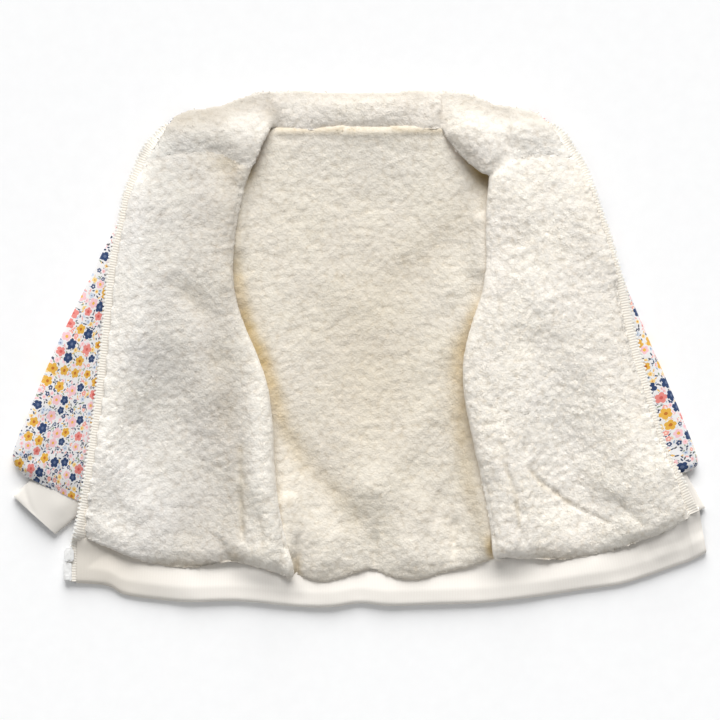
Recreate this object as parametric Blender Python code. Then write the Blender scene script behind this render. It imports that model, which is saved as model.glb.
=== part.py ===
"""Toddler zip jacket with a sherpa lining, lying open on its back.

Frame: metres, +Z up, the resting face at Z = 0, the hem towards -Y and the collar towards +Y.
The back lies flat. Each front is one sheet that runs from its side seam over the back, rolls
over at the fold line and lies lining up as far as its zip edge. A sleeve lies under each front.
Sizes below are in millimetres. Fronts and sleeves have left and right columns, measured outwards
from the centre line, and left is the -X side.
"""

import bmesh
import bpy
import numpy as np

for old in list(bpy.data.objects):
    bpy.data.objects.remove(old, do_unlink=True)

# ---------------------------------------------------------------- sizes, mm
SEAM = 0.3  # space left between two pieces
BAND_GAP = 1.4  # the same where a curved edge meets the band
SHELL = 1.2  # printed outer fleece
PILE = 6.0  # sherpa lining where it lies open
PILE_UNDER = 4.0  # sherpa lining pressed in the hidden underlap
PILE_ROLL = 5.0  # sherpa lining round the fold
BACK_FLAT = 7.0  # top of the back lining where a front lies on it
BACK_RISE = 1.6  # how much higher the open back lining stands
RIB = 3.0  # double rib of the hem band and cuffs
FOLD_RADIUS = 2.8  # of the face where shell and lining meet, at the fold
TAPE = 0.8  # zip tape
BEAD = 2.8  # height that the zip teeth reach
BEAD_WIDE = 4.2
SHELL_INSET = 4.8  # zip edge to the edge of the shell
LINING_INSET = 9.5  # zip edge to the edge of the lining
TAPE_WIDE = 17.0
SEAM_SLOPE = 12.0  # width of the slope that closes the side seam
SLEEVE_GAP = 3.2  # space inside a sleeve or cuff that lies flat

# Level up the garment, and how far out the zip edge stands on each side.
ZIP_EDGE = (  # y, left, right
    (-186, 229.2, 278.0), (-160, 228.1, 278.0), (-140, 225.6, 277.0), (-128, 223.9, 272.4),
    (-113, 221.7, 265.2), (-98, 219.4, 257.6), (-84, 217.4, 249.2), (-64, 214.2, 242.4),
    (-40, 211.2, 236.2), (-5, 207.4, 226.7), (20, 205.0, 220.4), (46, 202.6, 215.4),
    (68, 200.4, 208.4), (87, 196.4, 203.6), (106, 191.8, 197.2), (125, 188.3, 190.8),
    (145, 180.4, 183.6), (164, 171.6, 172.4), (174, 162.8, 165.6), (183, 154.0, 154.0),
)
# Level, and how far out the rolled inner edge of each opened front stands.
FOLD_EDGE = (  # y, left, right
    (-182, 49.2, 107.8), (-165, 55.0, 107.6), (-140, 62.0, 106.0), (-112, 66.6, 100.6),
    (-88, 68.4, 95.4), (-60, 69.0, 89.2), (-32, 72.4, 84.4), (-10, 78.4, 83.6),
    (14, 91.2, 88.6), (38, 98.6, 98.2), (56, 101.8, 102.8), (82, 100.4, 102.8),
    (108, 96.8, 101.2), (128, 92.4, 106.4), (148, 85.6, 103.0),
)
# Level, and how far out the side seam stands, then the armhole above the underarm.
SIDE_SEAM = (  # y, left, right
    (-180, 84, 134), (-150, 88, 135), (-120, 92, 136), (-80, 102, 138), (-40, 122, 143),
    (0, 141, 149), (42, 152, 152), (80, 146, 146), (120, 140, 140), (170, 139, 139.6),
)
UNDERARM = 36.0  # level of the underarm
SHOULDER = 168.0  # level of the shoulder seam at the armhole
# Lower edge of the rib band and the seam edge above it, along the hem from left to right.
HEM_BAND = (  # low_x, low_y, up_x, up_y
    (-224.0, -185.8, -221.0, -146.5), (-201, -188.5, -200, -150.5), (-187, -195.5, -186, -157.5),
    (-161, -199.5, -160, -161.5), (-135, -201.6, -134, -163.6), (-95, -201, -95, -163),
    (-47, -205.4, -47, -167.4), (-22, -205.6, -22, -167.6), (1, -202.6, 1, -164.6),
    (25, -204.6, 25, -166.6), (61, -203.6, 60, -165.6), (97, -202.4, 96, -164.4),
    (125, -199.5, 123, -161.5), (153, -196, 150, -158), (181, -191.5, 176, -153.6),
    (209, -186.4, 203, -148.6), (231, -179.5, 222, -142.5), (253, -172, 242, -135.5),
    (263, -165.8, 253, -127.6), (273, -160.8, 262, -119.4),
)
# Lower edge of the sherpa, which hangs over the band: distance out, level.
LEFT_LINING_HEM = (  # out, y
    (49, -179.6), (56, -181.6), (64, -181.4), (77, -177.4), (92, -168.6), (104, -165.0),
    (115, -173.0), (133, -176.6), (155, -173.6), (175, -168.0), (195, -158.6), (216, -150.4),
)
RIGHT_LINING_HEM = (  # out, y
    (107, -165.0), (119, -167.2), (145, -168.8), (173, -168.0), (205, -160.2), (225, -154.2),
    (245, -146.4), (256, -141.0), (268, -131.0),
)
BACK_LINING_HEM = (  # x, y
    (-84, -172), (-66, -178), (-49, -179.4), (-39, -182.2), (-27, -184.8), (-14, -182), (0, -176),
    (13, -175.2), (25, -180), (37, -182.4), (53, -181.6), (69, -176), (89, -172.8), (107, -166),
    (134, -164),
)
LEFT_NECK = ((84, 146), (94, 147.5), (105, 156), (121, 159), (150, 156), (178, 150))  # out, y
RIGHT_NECK = ((105, 139), (114, 141), (124, 151), (138, 156), (157, 156), (182, 150))  # out, y
BACK_TOP = (  # x, y
    (-139, 168), (-100, 171), (-64, 174), (-30, 173.2), (0, 172.6), (30, 172.8), (58, 174),
    (100, 171), (139.6, 168),
)
# The collar from the left zip end to the right one. Base -1 means that it lies on what is below.
COLLAR = (  # seam_x, seam_y, top_x, top_y, base, pile
    (-178, 150, -154, 183.4, -1, 4.0), (-167, 153, -144, 188.2, -1, 6.0),
    (-150, 156, -124, 190.4, -1, 7.0), (-128, 159.4, -107, 195.2, -1, 7.0),
    (-106, 160, -93, 201.0, -1, 7.5), (-91, 153, -80, 205.2, -1, 7.0),
    (-84, 146, -71, 206.4, -1, 4.6), (-71, 176.2, -66, 206.6, 8.2, 3.6),
    (-62, 175, -57, 206.6, 0.2, 6.0), (-40, 174.6, -38, 205.4, 0, 8.5), (-14, 174, -14, 203.2, 0, 9.5),
    (14, 174, 12, 204.0, 0, 9.5), (38, 174.2, 36, 205.2, 0, 9.0), (56, 174.8, 53, 207.0, 0, 6.5),
    (66, 176.2, 62, 207.0, 8.2, 3.6), (73, 165, 68, 206.6, -1, 5.0), (90, 148, 81, 204.8, -1, 9.0),
    (105, 139, 94, 202.2, -1, 8.0), (118, 150, 106, 196.8, -1, 3.6), (132, 157, 119, 193.0, -1, 7.5),
    (150, 156, 127, 191.4, -1, 7.0), (170, 153.4, 147, 187.2, -1, 6.0), (182, 150, 155, 183.4, -1, 4.0),
)
# Sleeve sections from the armhole to the cuff seam: upper edge, underarm edge and height.
LEFT_SLEEVE = (  # out_a, y_a, out_b, y_b, high
    (140, 168, 153, 44, 12), (168, 140, 162, 24, 12), (197, 92, 172, 2, 13), (219, 48, 182, -22, 14),
    (243, -1, 193, -48, 14), (260, -42, 203, -74, 14), (276, -84, 214, -103, 13), (266, -101, 217, -123.6, 9),
)
RIGHT_SLEEVE = (  # out_a, y_a, out_b, y_b, high
    (140.6, 168, 153, 44, 12), (170, 138, 160, 24, 12), (191, 104, 168, 2, 12), (214.5, 49, 178, -22, 12),
    (235, 1, 190, -48, 12), (255, -45, 202, -72, 12), (269.4, -84, 213, -97, 12), (261, -99, 221, -112, 9),
)
LEFT_CUFF = ((262, -103.8, 217, -126.2, 8), (276, -116.5, 242, -147.2, 7.4))
RIGHT_CUFF = ((262.6, -100.2, 223, -112.6, 8), (277.4, -126, 234, -142, 7.4))
# Soft ridges and troughs of the sherpa: two ends, half width and height.
FOLDS = (  # x0, y0, x1, y1, half, high
    (-171, 140, -172, 5, 15, 2.4), (-127, 148, -100, 147, 9, -2.2), (-128, 45, -126, -5, 17, -1.8),
    (-94, -25, -93, -162, 5.5, -4.0), (-150, -95, -145, -140, 28, 2.4), (-80, -40, -80, -125, 9, 1.6),
    (0, -78, 12, -116, 26, 3.4), (-27, -104, 3, -132, 6, -2.2), (13, -142, 13, -174, 8, -3.2),
    (-33, -150, -31, -170, 13, 2.6), (36, -145, 48, -168, 15, 2.8), (-62, -50, -46, -82, 13, -2.2),
    (77, -134, 73, -162, 6, -2.8), (72, -58, 86, -122, 13, -2.4), (84, 22, 79, -22, 8, -1.8),
    (137, -88, 165, -116, 6, -3.0), (165, -116, 194, -136, 6, -2.6), (127, -128, 133, -152, 5, -2.6),
    (170, 110, 176, 20, 22, 1.8), (200, -60, 222, -110, 18, 1.8), (128, 60, 126, -30, 16, 1.2),
)
COLOURS = {  # linear rgb, roughness, metallic
    "floral_fleece": ((0.82, 0.82, 0.84), 0.85, 0.0), "sherpa_pile": ((0.76, 0.73, 0.65), 0.95, 0.0),
    "cream_rib": ((0.87, 0.83, 0.77), 0.85, 0.0), "zip_tape": ((0.80, 0.75, 0.69), 0.8, 0.0),
    "zip_plastic": ((0.86, 0.85, 0.84), 0.35, 0.0),
}


# ---------------------------------------------------------------- curves
def through(rows, at, column=1):
    """A smooth curve through a table's rows, read at each value of its first column."""
    table = np.array(rows, float)
    keys, values = table[:, 0], table[:, column]
    slope = np.gradient(values, keys)
    at = np.clip(at, keys[0], keys[-1])
    i = np.clip(np.searchsorted(keys, at) - 1, 0, len(keys) - 2)
    wide = keys[i + 1] - keys[i]
    t = (at - keys[i]) / wide
    return (
        (2 * t**3 - 3 * t**2 + 1) * values[i]
        + (t**3 - 2 * t**2 + t) * wide * slope[i]
        + (3 * t**2 - 2 * t**3) * values[i + 1]
        + (t**3 - t**2) * wide * slope[i + 1]
    )


def ease(t):
    t = np.clip(t, 0, 1)
    return t * t * (3 - 2 * t)


def resampled(rows, count):
    """A table's rows at `count` even steps from its first to its last row."""
    table = np.array(rows, float)
    keyed = np.column_stack([np.arange(len(table)), table])
    steps = np.linspace(0, len(table) - 1, count)
    return np.column_stack([through(keyed, steps, c + 1) for c in range(table.shape[1])])


def folds_at(x, y):
    """Height of the soft ridges and troughs over a point."""
    total = np.zeros_like(x, float)
    for x0, y0, x1, y1, half, high in FOLDS:
        run = np.array([x1 - x0, y1 - y0])
        t = np.clip(((x - x0) * run[0] + (y - y0) * run[1]) / (run @ run), 0, 1)
        off = np.hypot(x - x0 - t * run[0], y - y0 - t * run[1])
        total += high * np.exp(-((off / half) ** 2))
    return total


# ---------------------------------------------------------------- what the fronts lie on
STEP = 4.0
GRID_X, GRID_Y = np.arange(-300, 301, STEP), np.arange(-224, 225, STEP)


def sleeve_top(rows, side, x, y):
    """Height of a sleeve or cuff over each point, and 0 beside it."""
    top = np.zeros_like(x)
    fine = resampled(rows, 8 * len(rows))
    for out_a, y_a, out_b, y_b, high in fine:
        a, run = np.array([side * out_a, y_a]), np.array([side * (out_b - out_a), y_b - y_a])
        t = ((x - a[0]) * run[0] + (y - a[1]) * run[1]) / (run @ run)
        near = np.hypot(x - a[0] - t * run[0], y - a[1] - t * run[1]) < 6
        top = np.where(near & (t > -0.02) & (t < 1.02), np.maximum(top, high), top)
    return top


def draped(support, rounds=26):
    """A cloth laid over the support: it never sinks into it, and spans its hollows."""
    padded = np.pad(support, 1, mode="edge")
    wide = np.max([padded[i:i + support.shape[0], j:j + support.shape[1]]
                   for i in range(3) for j in range(3)], axis=0)
    cloth = wide.copy()
    for _ in range(rounds):
        p = np.pad(cloth, 1, mode="edge")
        around = (p[:-2, 1:-1] + p[2:, 1:-1] + p[1:-1, :-2] + p[1:-1, 2:]) / 4
        cloth = np.maximum(wide, 0.5 * cloth + 0.5 * around)
    return cloth


FIELD_X, FIELD_Y = np.meshgrid(GRID_X, GRID_Y, indexing="ij")
SIDES = ((-1, 1, LEFT_SLEEVE, LEFT_CUFF), (1, 2, RIGHT_SLEEVE, RIGHT_CUFF))


def sleeves_below():
    x, y = FIELD_X, FIELD_Y
    return np.max([sleeve_top(rows, side, x, y) for side, _, sleeve, cuff in SIDES
                   for rows in (sleeve, cuff)], axis=0)


def body_below(band_base):
    """The band, the back and the hidden part of each front, as heights."""
    x, y = FIELD_X, FIELD_Y
    low = through([(r[0], r[1]) for r in HEM_BAND], x)
    up = through([(r[2], r[3]) for r in HEM_BAND], x)
    support = np.where((y > low - 8) & (y < up + 10), band_base + RIB - SHELL - SEAM, 0.0)
    within = (x > -through(SIDE_SEAM, y, 1)) & (x < through(SIDE_SEAM, y, 2)) & (y < 176) & (y > low)
    support = np.where(within, BACK_FLAT + BACK_RISE, support)
    for side, column, _, _ in SIDES:
        out = side * x
        fold, seam = through(FOLD_EDGE, y, column), through(SIDE_SEAM, y, column)
        slope = np.where(y > UNDERARM, 0.0, SEAM_SLOPE - 4)
        layered = (out > fold - 8) & (out < seam - slope) & (y < SHOULDER + 4)
        support = np.where(layered, BACK_FLAT + 2 * SEAM + PILE_UNDER + SHELL + SEAM, support)
    return support


UNDER_BAND = draped(sleeves_below() + 0.8 * (sleeves_below() > 0), 4)
UNDER_FRONT = draped(np.maximum(sleeves_below(), body_below(UNDER_BAND))) + 0.6 * SEAM


def under(x, y, g=UNDER_FRONT):
    """Height of the face that an opened front or the collar lies on."""
    fx = np.clip((x - GRID_X[0]) / STEP, 0, len(GRID_X) - 1.001)
    fy = np.clip((y - GRID_Y[0]) / STEP, 0, len(GRID_Y) - 1.001)
    i, j = fx.astype(int), fy.astype(int)
    u, v = fx - i, fy - j
    return ((1 - u) * (1 - v) * g[i, j] + u * (1 - v) * g[i + 1, j]
            + (1 - u) * v * g[i, j + 1] + u * v * g[i + 1, j + 1])


# ---------------------------------------------------------------- solids
def material(slot):
    made = bpy.data.materials.get(slot) or bpy.data.materials.new(slot)
    made.use_nodes = True
    rgb, rough, metal = COLOURS[slot]
    shader = made.node_tree.nodes["Principled BSDF"]
    shader.inputs["Base Color"].default_value = (*rgb, 1)
    shader.inputs["Roughness"].default_value = rough
    shader.inputs["Metallic"].default_value = metal
    return made


def solid(name, points, faces, slot):
    """A closed mesh of points in millimetres, facing outwards."""
    mesh = bpy.data.meshes.new(name)
    mesh.from_pydata([tuple(p) for p in np.asarray(points) / 1000], [], faces)
    shape = bmesh.new()
    shape.from_mesh(mesh)
    bmesh.ops.recalc_face_normals(shape, faces=shape.faces)
    if shape.calc_volume(signed=True) < 0:
        bmesh.ops.reverse_faces(shape, faces=shape.faces)
    shape.to_mesh(mesh)
    shape.free()
    mesh.materials.append(material(slot))
    part = bpy.data.objects.new(name, mesh)
    bpy.context.collection.objects.link(part)
    return part


def wall(name, over, below, slot):
    """The cloth between two sheets of points, each rows by columns."""
    rows, cols = over.shape[:2]
    points = np.concatenate([over.reshape(-1, 3), below.reshape(-1, 3)])
    faces, under_by, plan = [], rows * cols, over.reshape(-1, 3)[:, :2]
    for r in range(rows - 1):
        for c in range(cols - 1):
            a, b = r * cols + c, r * cols + c + 1
            d, e = a + cols, b + cols
            halves = [(a, b, e), (a, e, d)]
            if np.hypot(*(plan[a] - plan[e])) > np.hypot(*(plan[b] - plan[d])):
                halves = [(a, b, d), (b, e, d)]
            faces += halves + [(k + under_by, i + under_by, h + under_by) for h, i, k in halves]
    rim = ([(0, c) for c in range(cols)] + [(r, cols - 1) for r in range(1, rows)]
           + [(rows - 1, c) for c in range(cols - 2, -1, -1)] + [(r, 0) for r in range(rows - 2, 0, -1)])
    ids = [r * cols + c for r, c in rim]
    for a, b in zip(ids, ids[1:] + ids[:1]):
        faces += [(a, a + under_by, b + under_by), (a, b + under_by, b)]
    return solid(name, points, faces, slot)


def raised(plan, z):
    return np.dstack([plan[..., 0], plan[..., 1], z])


# ---------------------------------------------------------------- back
def back():
    rows, cols = 15, 18
    share = np.linspace(0, 1, cols)
    up_edge = [(r[2], r[3]) for r in HEM_BAND]
    plan = np.zeros((rows, cols, 2))
    climb = np.concatenate([[0, 0, 0], np.linspace(0, 1, rows - 2)[1:]])
    for r in range(rows):
        level = -166 + (SHOULDER - 2 + 166) * climb[r]
        inset = 1.0 + SEAM_SLOPE * ease((UNDERARM - level) / 20)
        left, right = -through(SIDE_SEAM, level, 1) + inset, through(SIDE_SEAM, level, 2) - inset
        x = left + (right - left) * share
        x_low = -72 + (119 + 72) * share
        x_top = -138 + 276 * share
        low, top = through(up_edge, x_low) + BAND_GAP, through(BACK_TOP, x_top)
        hem = through(BACK_LINING_HEM, x_low)
        plan[r, :, 0] = x
        plan[r, :, 1] = low + (top - low) * climb[r]
        if r < 2:
            plan[r, :, 0] = x_low
            plan[r, :, 1] = hem + (low - hem) * (0, 0.45)[r]
    x, y = plan[..., 0], plan[..., 1]
    clear = np.minimum(x + through(FOLD_EDGE, y, 1), through(FOLD_EDGE, y, 2) - x)
    open_share = ease((clear - 2) / 14)
    over_band = (np.arange(rows) < 3)[:, None] * 1.0
    below = SHELL + SEAM + (RIB - SHELL) * np.maximum(over_band, 0)
    below = np.broadcast_to(below, x.shape)
    top = BACK_FLAT + open_share * (BACK_RISE + folds_at(x, y))
    rounded = np.ones(rows)
    rounded[:2] = 0.42, 0.86
    rounded[-1] = 0.8
    top = below + (top - below) * rounded[:, None]
    wall("back_lining", raised(plan, top), raised(plan, below), "sherpa_pile")

    sheet = np.zeros((8, 9, 2))
    for r, rise in enumerate(np.linspace(0, 1, 8)):
        level = -166 + (SHOULDER + 166) * rise
        left, right = -through(SIDE_SEAM, level, 1), through(SIDE_SEAM, level, 2)
        x = left + (right - left) * np.linspace(0, 1, 9)
        x_low = -through(SIDE_SEAM, -166, 1) + (134 + 86) * np.linspace(0, 1, 9)
        low = through(up_edge, x_low) + BAND_GAP
        high = through(BACK_TOP, -139 + 278 * np.linspace(0, 1, 9)) - 0.3
        sheet[r, :, 0], sheet[r, :, 1] = x, low + (high - low) * rise
    flat = np.zeros(sheet.shape[:2])
    wall("back_shell", raised(sheet, flat + SHELL), raised(sheet, flat), "floral_fleece")


# ---------------------------------------------------------------- fronts
ROWS = 16
OPEN_COLS = 9  # columns of the opened part, from the edge of the shell to the roll
TURN = np.radians((60, 30, 0, -30, -60))


def front(side, word, column, hem, neck):
    """One front, with its zip tape's seam columns. Returns the plan and height next to the zip."""
    radius, climb = FOLD_RADIUS, np.linspace(0, 1, ROWS - 2)
    up_edge = [(side * r[2], r[3]) for r in HEM_BAND][::side]
    zip_low, zip_top = hem[-1][1], neck[-1][1] - BAND_GAP
    fold_top = neck[0][1]
    low_zip = through(up_edge, through(ZIP_EDGE, zip_low, column) - 8) + BAND_GAP
    low_fold = -166.0 if side < 0 else -163.0
    plan = np.zeros((ROWS, OPEN_COLS + len(TURN) + 5, 2))
    z = np.zeros(plan.shape[:2])
    out = np.zeros(plan.shape)  # unit direction that the lining faces: sideways, up
    for r in range(ROWS):
        share = climb[max(r - 2, 0)]
        y_zip = low_zip + (zip_top - low_zip) * share
        y_fold = low_fold + (fold_top - low_fold) * share
        y_seam = -165 + (SHOULDER - 1 + 165) * share
        if r < 2:
            lift = (0, 0.45)[r]
            y_zip = zip_low + (low_zip - zip_low) * lift
            y_fold = through(hem, hem[0][0] + 2) * (1 - lift) + low_fold * lift
            y_seam = y_seam - 8 * (1 - lift)
        edge, fold = through(ZIP_EDGE, y_zip, column), through(FOLD_EDGE, y_fold, column)
        start = fold + PILE_ROLL + radius
        span = edge - TAPE_WIDE - start
        outs = np.concatenate([edge - np.array([SHELL_INSET, LINING_INSET, TAPE_WIDE]),
                               start + span * np.linspace(1, 0, OPEN_COLS - 2)[1:]])
        t = (outs - fold) / (edge - fold)
        straight = y_fold + (y_zip - y_fold) * t
        e_low, f_low = through(ZIP_EDGE, low_zip, column), through(FOLD_EDGE, low_fold, column)
        e_top, f_top = through(ZIP_EDGE, zip_top, column), through(FOLD_EDGE, fold_top, column)
        bow_low = through(up_edge, f_low + (e_low - f_low) * t) + BAND_GAP - (low_fold + (low_zip - low_fold) * t)
        bow_top = through(neck, f_top + (e_top - f_top) * t) - BAND_GAP - (fold_top + (zip_top - fold_top) * t)
        y = straight + (1 - share) * bow_low + share * bow_top
        if r < 2:
            y = through(hem, outs) * (1 - lift) + (through(up_edge, outs) + BAND_GAP) * lift
        n = OPEN_COLS
        plan[r, :n, 0], plan[r, :n, 1] = outs, y
        near_fold = ease(1 - (outs - start) / 30)
        z[r, :n] = under(side * outs, y) + SEAM + SHELL + SEAM / 2 + near_fold * (2 * radius - 3.0)
        out[r, :n] = 0, 1
        low_z = BACK_FLAT + SEAM + PILE_UNDER + SEAM / 2
        z[r, n - 1] = max(z[r, n - 1], low_z + 2 * radius)
        high = (z[r, n - 1] - low_z) / 2
        for i, turn in enumerate(TURN):
            plan[r, n + i] = start - radius * np.cos(turn), y[-1]
            z[r, n + i] = low_z + high + high * np.sin(turn)
            out[r, n + i] = -np.cos(turn), np.sin(turn)
        closing = ease((UNDERARM - y_seam) / 20)
        seam = through(SIDE_SEAM, y_seam, column)
        stop = seam - 1.0 - SEAM_SLOPE * closing
        under_outs = np.concatenate([start + (stop - start) * np.array([0, 0.5, 1]),
                                     [seam - 0.6 - 0.45 * SEAM_SLOPE * closing, seam - 0.4]])
        m = n + len(TURN)
        plan[r, m:, 0] = under_outs
        plan[r, m:, 1] = y[-1] + (y_seam - y[-1]) * np.clip((under_outs - start) / max(seam - start, 1), 0, 1)
        z[r, m:] = low_z
        z[r, m + 3] -= closing * 0.5 * (low_z - 3.0)
        z[r, m + 4] -= closing * (low_z - 3.0)
        out[r, m:] = 0, -1
    x = side * plan[..., 0]
    flat = np.dstack([x, plan[..., 1]])

    def moved(by, cols):
        shifted = flat[:, cols].copy()
        shifted[..., 0] += side * out[:, cols, 0] * by
        return raised(shifted, z[:, cols] + out[:, cols, 1] * by)

    every = slice(0, plan.shape[1])
    gap = np.full(z.shape, SEAM / 2)
    wall(f"front_shell_{word}", moved(-gap, every)[2:], moved(-gap - SHELL, every)[2:], "floral_fleece")

    lined = slice(1, plan.shape[1] - 2)
    lift = np.zeros(z.shape)
    lift[:, 1:3] = TAPE + SEAM
    lift[:, 3] = 0.25
    pile = np.full(z.shape, PILE)
    pile[:, :OPEN_COLS] += folds_at(x[:, :OPEN_COLS], plan[:, :OPEN_COLS, 1])
    pile[:, OPEN_COLS - 1] = 0.5 * (pile[:, OPEN_COLS - 1] + PILE_ROLL)
    pile[:, OPEN_COLS:OPEN_COLS + 5] = np.linspace(PILE_ROLL, PILE_UNDER, 6)[:-1]
    pile[:, OPEN_COLS + 5:] = PILE_UNDER
    thin = np.ones(z.shape)
    thin[:, 1], thin[:, 2] = 0.42, 0.82
    thin[0, :OPEN_COLS + 3] *= 0.42
    thin[1, :OPEN_COLS + 3] *= 0.84
    thin[-1, :OPEN_COLS] *= 0.6
    outer, inner = (gap + lift + pile * thin)[:, lined], (gap + lift)[:, lined]
    wall(f"front_lining_{word}", moved(outer, lined), moved(inner, lined), "sherpa_pile")
    return flat[:, :3], z[:, :3]


# ---------------------------------------------------------------- collar
def collar():
    across = np.linspace(0, 1, 5)
    rows = np.array(COLLAR, float)
    stations = resampled(COLLAR, 2 * len(COLLAR) - 1)
    keep = [i for i in range(len(stations)) if i % 2 == 0 or 2 < i < 16 or 28 < i < 42]
    stations = stations[keep]
    for end, near in ((0, 1), (-1, -2)):
        out = rows[near, :2] - rows[end, :2]
        out /= np.hypot(*out)
        for k, inset in ((0, SHELL_INSET), (1, LINING_INSET), (2, TAPE_WIDE)):
            i = k if end == 0 else -1 - k
            for c in (0, 2):
                side = -1 if end == 0 else 1
                edge_y = rows[end, c + 1]
                edge = side * through(ZIP_EDGE, edge_y, 1 if side < 0 else 2)
                x = edge - side * inset * (1.0 if c == 0 else 1.15)
                table = [(r[c], r[c + 1]) for r in COLLAR]
                stations[i, c], stations[i, c + 1] = x, through(sorted(table), np.array(x))
            stations[i, 5] = (3.0, 3.4, 5.4)[k]
    at = np.arange(len(COLLAR))
    stations[:, 4] = np.interp(np.array(keep) / 2, at, rows[:, 4])
    for i, (x, y) in enumerate(stations[:, :2]):
        neck = LEFT_NECK if x < 0 else RIGHT_NECK
        if stations[i, 4] < -0.5 and abs(x) > neck[0][0]:
            stations[i, 1] = through(neck, abs(x))
    seam, top = stations[:, 0:2], stations[:, 2:4]
    plan = seam[:, None] + (top - seam)[:, None] * across[None, :, None]
    plan[:, 0, 1] += SEAM
    x, y = plan[..., 0], plan[..., 1]
    rests = (stations[:, 4] < -0.5) | (stations[:, 1] < 175)
    base = np.where(rests[:, None], under(x, y) + SEAM, stations[:, 4:5] + 0 * x)
    lower = (1 - across**3)[None, :]
    base = np.where(rests[:, None], base, base * lower)
    level = base + SHELL
    arch = np.array([0.62, 1.0, 1.06, 0.9, 0.34])[None, :]
    pile = stations[:, 5:6] * arch
    wall("collar_shell", raised(plan, level), raised(plan, base), "floral_fleece")
    lift = np.full(x.shape, SEAM)
    lift[1:3], lift[-3:-1] = TAPE + 3 * SEAM, TAPE + 3 * SEAM
    lift[3], lift[-4] = 0.5, 0.5
    lined = slice(1, len(stations) - 1)
    wall("collar_lining", raised(plan, level + lift + pile)[lined], raised(plan, level + lift)[lined],
         "sherpa_pile")
    return plan, base


# ---------------------------------------------------------------- zip
def tape(side, word, column, body, body_z, ends, ends_base):
    """The tape with a bead where its teeth reach, from the hem to the top of the collar."""
    foot_level = body[0, 0, 1] - 1.2
    last = -185.8 if side < 0 else -159.4
    plans, bases = [], []
    for level in np.linspace(last, foot_level - 5, 6):
        edge = through(ZIP_EDGE, level, column)
        lean = (0.0 if side < 0 else 0.30)
        insets = np.array([0, BEAD_WIDE, SHELL_INSET, LINING_INSET, TAPE_WIDE])
        plans.append(np.column_stack([side * (edge - insets), level - insets * lean]))
        x, y = plans[-1].T
        near = 5 * (side > 0)  # the right cuff lies under this end, so the tape clears its slope
        raised_by = np.max([under(x, y + off, UNDER_BAND) for off in (-near, 0, near)], axis=0)
        bases.append(raised_by + 0.6 * ease(raised_by) + RIB - SHELL - SEAM)
    for plan, height in zip(body, body_z):
        plans.append(outer_columns(side, column, plan))
        base = height - SHELL - 1.5 * SEAM
        bases.append(np.concatenate([[base[0], base[0]], base]))
    for plan, base in zip(ends, ends_base):
        plans.append(outer_columns(side, column, plan))
        bases.append(np.concatenate([[base[0], base[0]], base]) - SEAM)
    plan, base = np.array(plans), np.array(bases)
    middle = base + SEAM + SHELL + SEAM + TAPE / 2
    half = np.array([BEAD / 2, BEAD / 2, TAPE / 2, TAPE / 2, TAPE / 2])[None, :]
    wall(f"zip_tape_{word}", raised(plan, middle + half), raised(plan, middle - half), "zip_tape")


def outer_columns(side, column, plan):
    """The zip edge and the bead's inner edge beside three seam points."""
    y = plan[0, 1] + (plan[0, 1] - plan[1, 1]) * SHELL_INSET / (LINING_INSET - SHELL_INSET)
    edge = np.array([side * through(ZIP_EDGE, y, column), y])
    bead = edge + (plan[0] - edge) * BEAD_WIDE / SHELL_INSET
    return np.vstack([edge, bead, plan])


def prism(name, outline, z0, z1, slot):
    """An outline of x, y points raised from z0 to z1."""
    count = len(outline)
    points = [(x, y, z0) for x, y in outline] + [(x, y, z1) for x, y in outline]
    faces = [tuple(range(count)), tuple(range(2 * count - 1, count - 1, -1))]
    faces += [(i, (i + 1) % count, count + (i + 1) % count, count + i) for i in range(count)]
    return solid(name, points, faces, slot)


def slider():
    """Two plates on a post, open towards the tape, with the teeth between them."""
    left, right, low, high = -235.2, -225.4, -168.9, -156.6
    plate = [(left + 1.6, low), (right - 1.2, low), (right, low + 2.0), (right, high - 3.0),
             (right - 2.0, high), (left + 2.0, high), (left, high - 3.0), (left, low + 2.0)]
    lower = prism("zip_slider", plate, 0.5, 1.7, "zip_plastic")
    parts = [prism("slider_top", plate, 6.2, 7.4, "zip_plastic"),
             prism("slider_post", [(left + 3.2, high - 5), (left + 5.6, high - 5), (left + 5.6, high - 0.4),
                                   (left + 3.2, high - 0.4)], 1.2, 6.5, "zip_plastic"),
             prism("slider_side", [(left + 0.4, low + 2.4), (left + 1.4, low + 2.4), (left + 1.4, high - 3.4),
                                   (left + 0.4, high - 3.4)], 1.2, 6.5, "zip_plastic")]
    for part in parts:
        join = lower.modifiers.new("join", "BOOLEAN")
        join.operation, join.solver, join.object = "UNION", "EXACT", part
        part.hide_render = True
        part.hide_viewport = True


# ---------------------------------------------------------------- sleeves and cuffs
def ring(a, b, high, wall_thick):
    """One flattened round of cloth, flat below: its outer and inner points."""
    a, b = np.array(a, float), np.array(b, float)
    wide = np.hypot(*(b - a))
    outline = [(-0.88, 0), (-0.5, 0), (0, 0), (0.5, 0), (0.88, 0), (0.97, 0.16), (1, 0.42), (0.95, 0.72),
               (0.78, 0.92), (0.42, 0.99), (0, 1), (-0.42, 0.99), (-0.78, 0.92), (-0.95, 0.72),
               (-1, 0.42), (-0.97, 0.16)]
    inset = 1 - 2 * wall_thick / wide
    middle, half = (a + b) / 2, (b - a) / 2
    outer = [(*(middle + half * s), high * h) for s, h in outline]
    inner = [(*(middle + half * s * inset), wall_thick + (high - 2 * wall_thick) * h) for s, h in outline]
    return outer, inner


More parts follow.
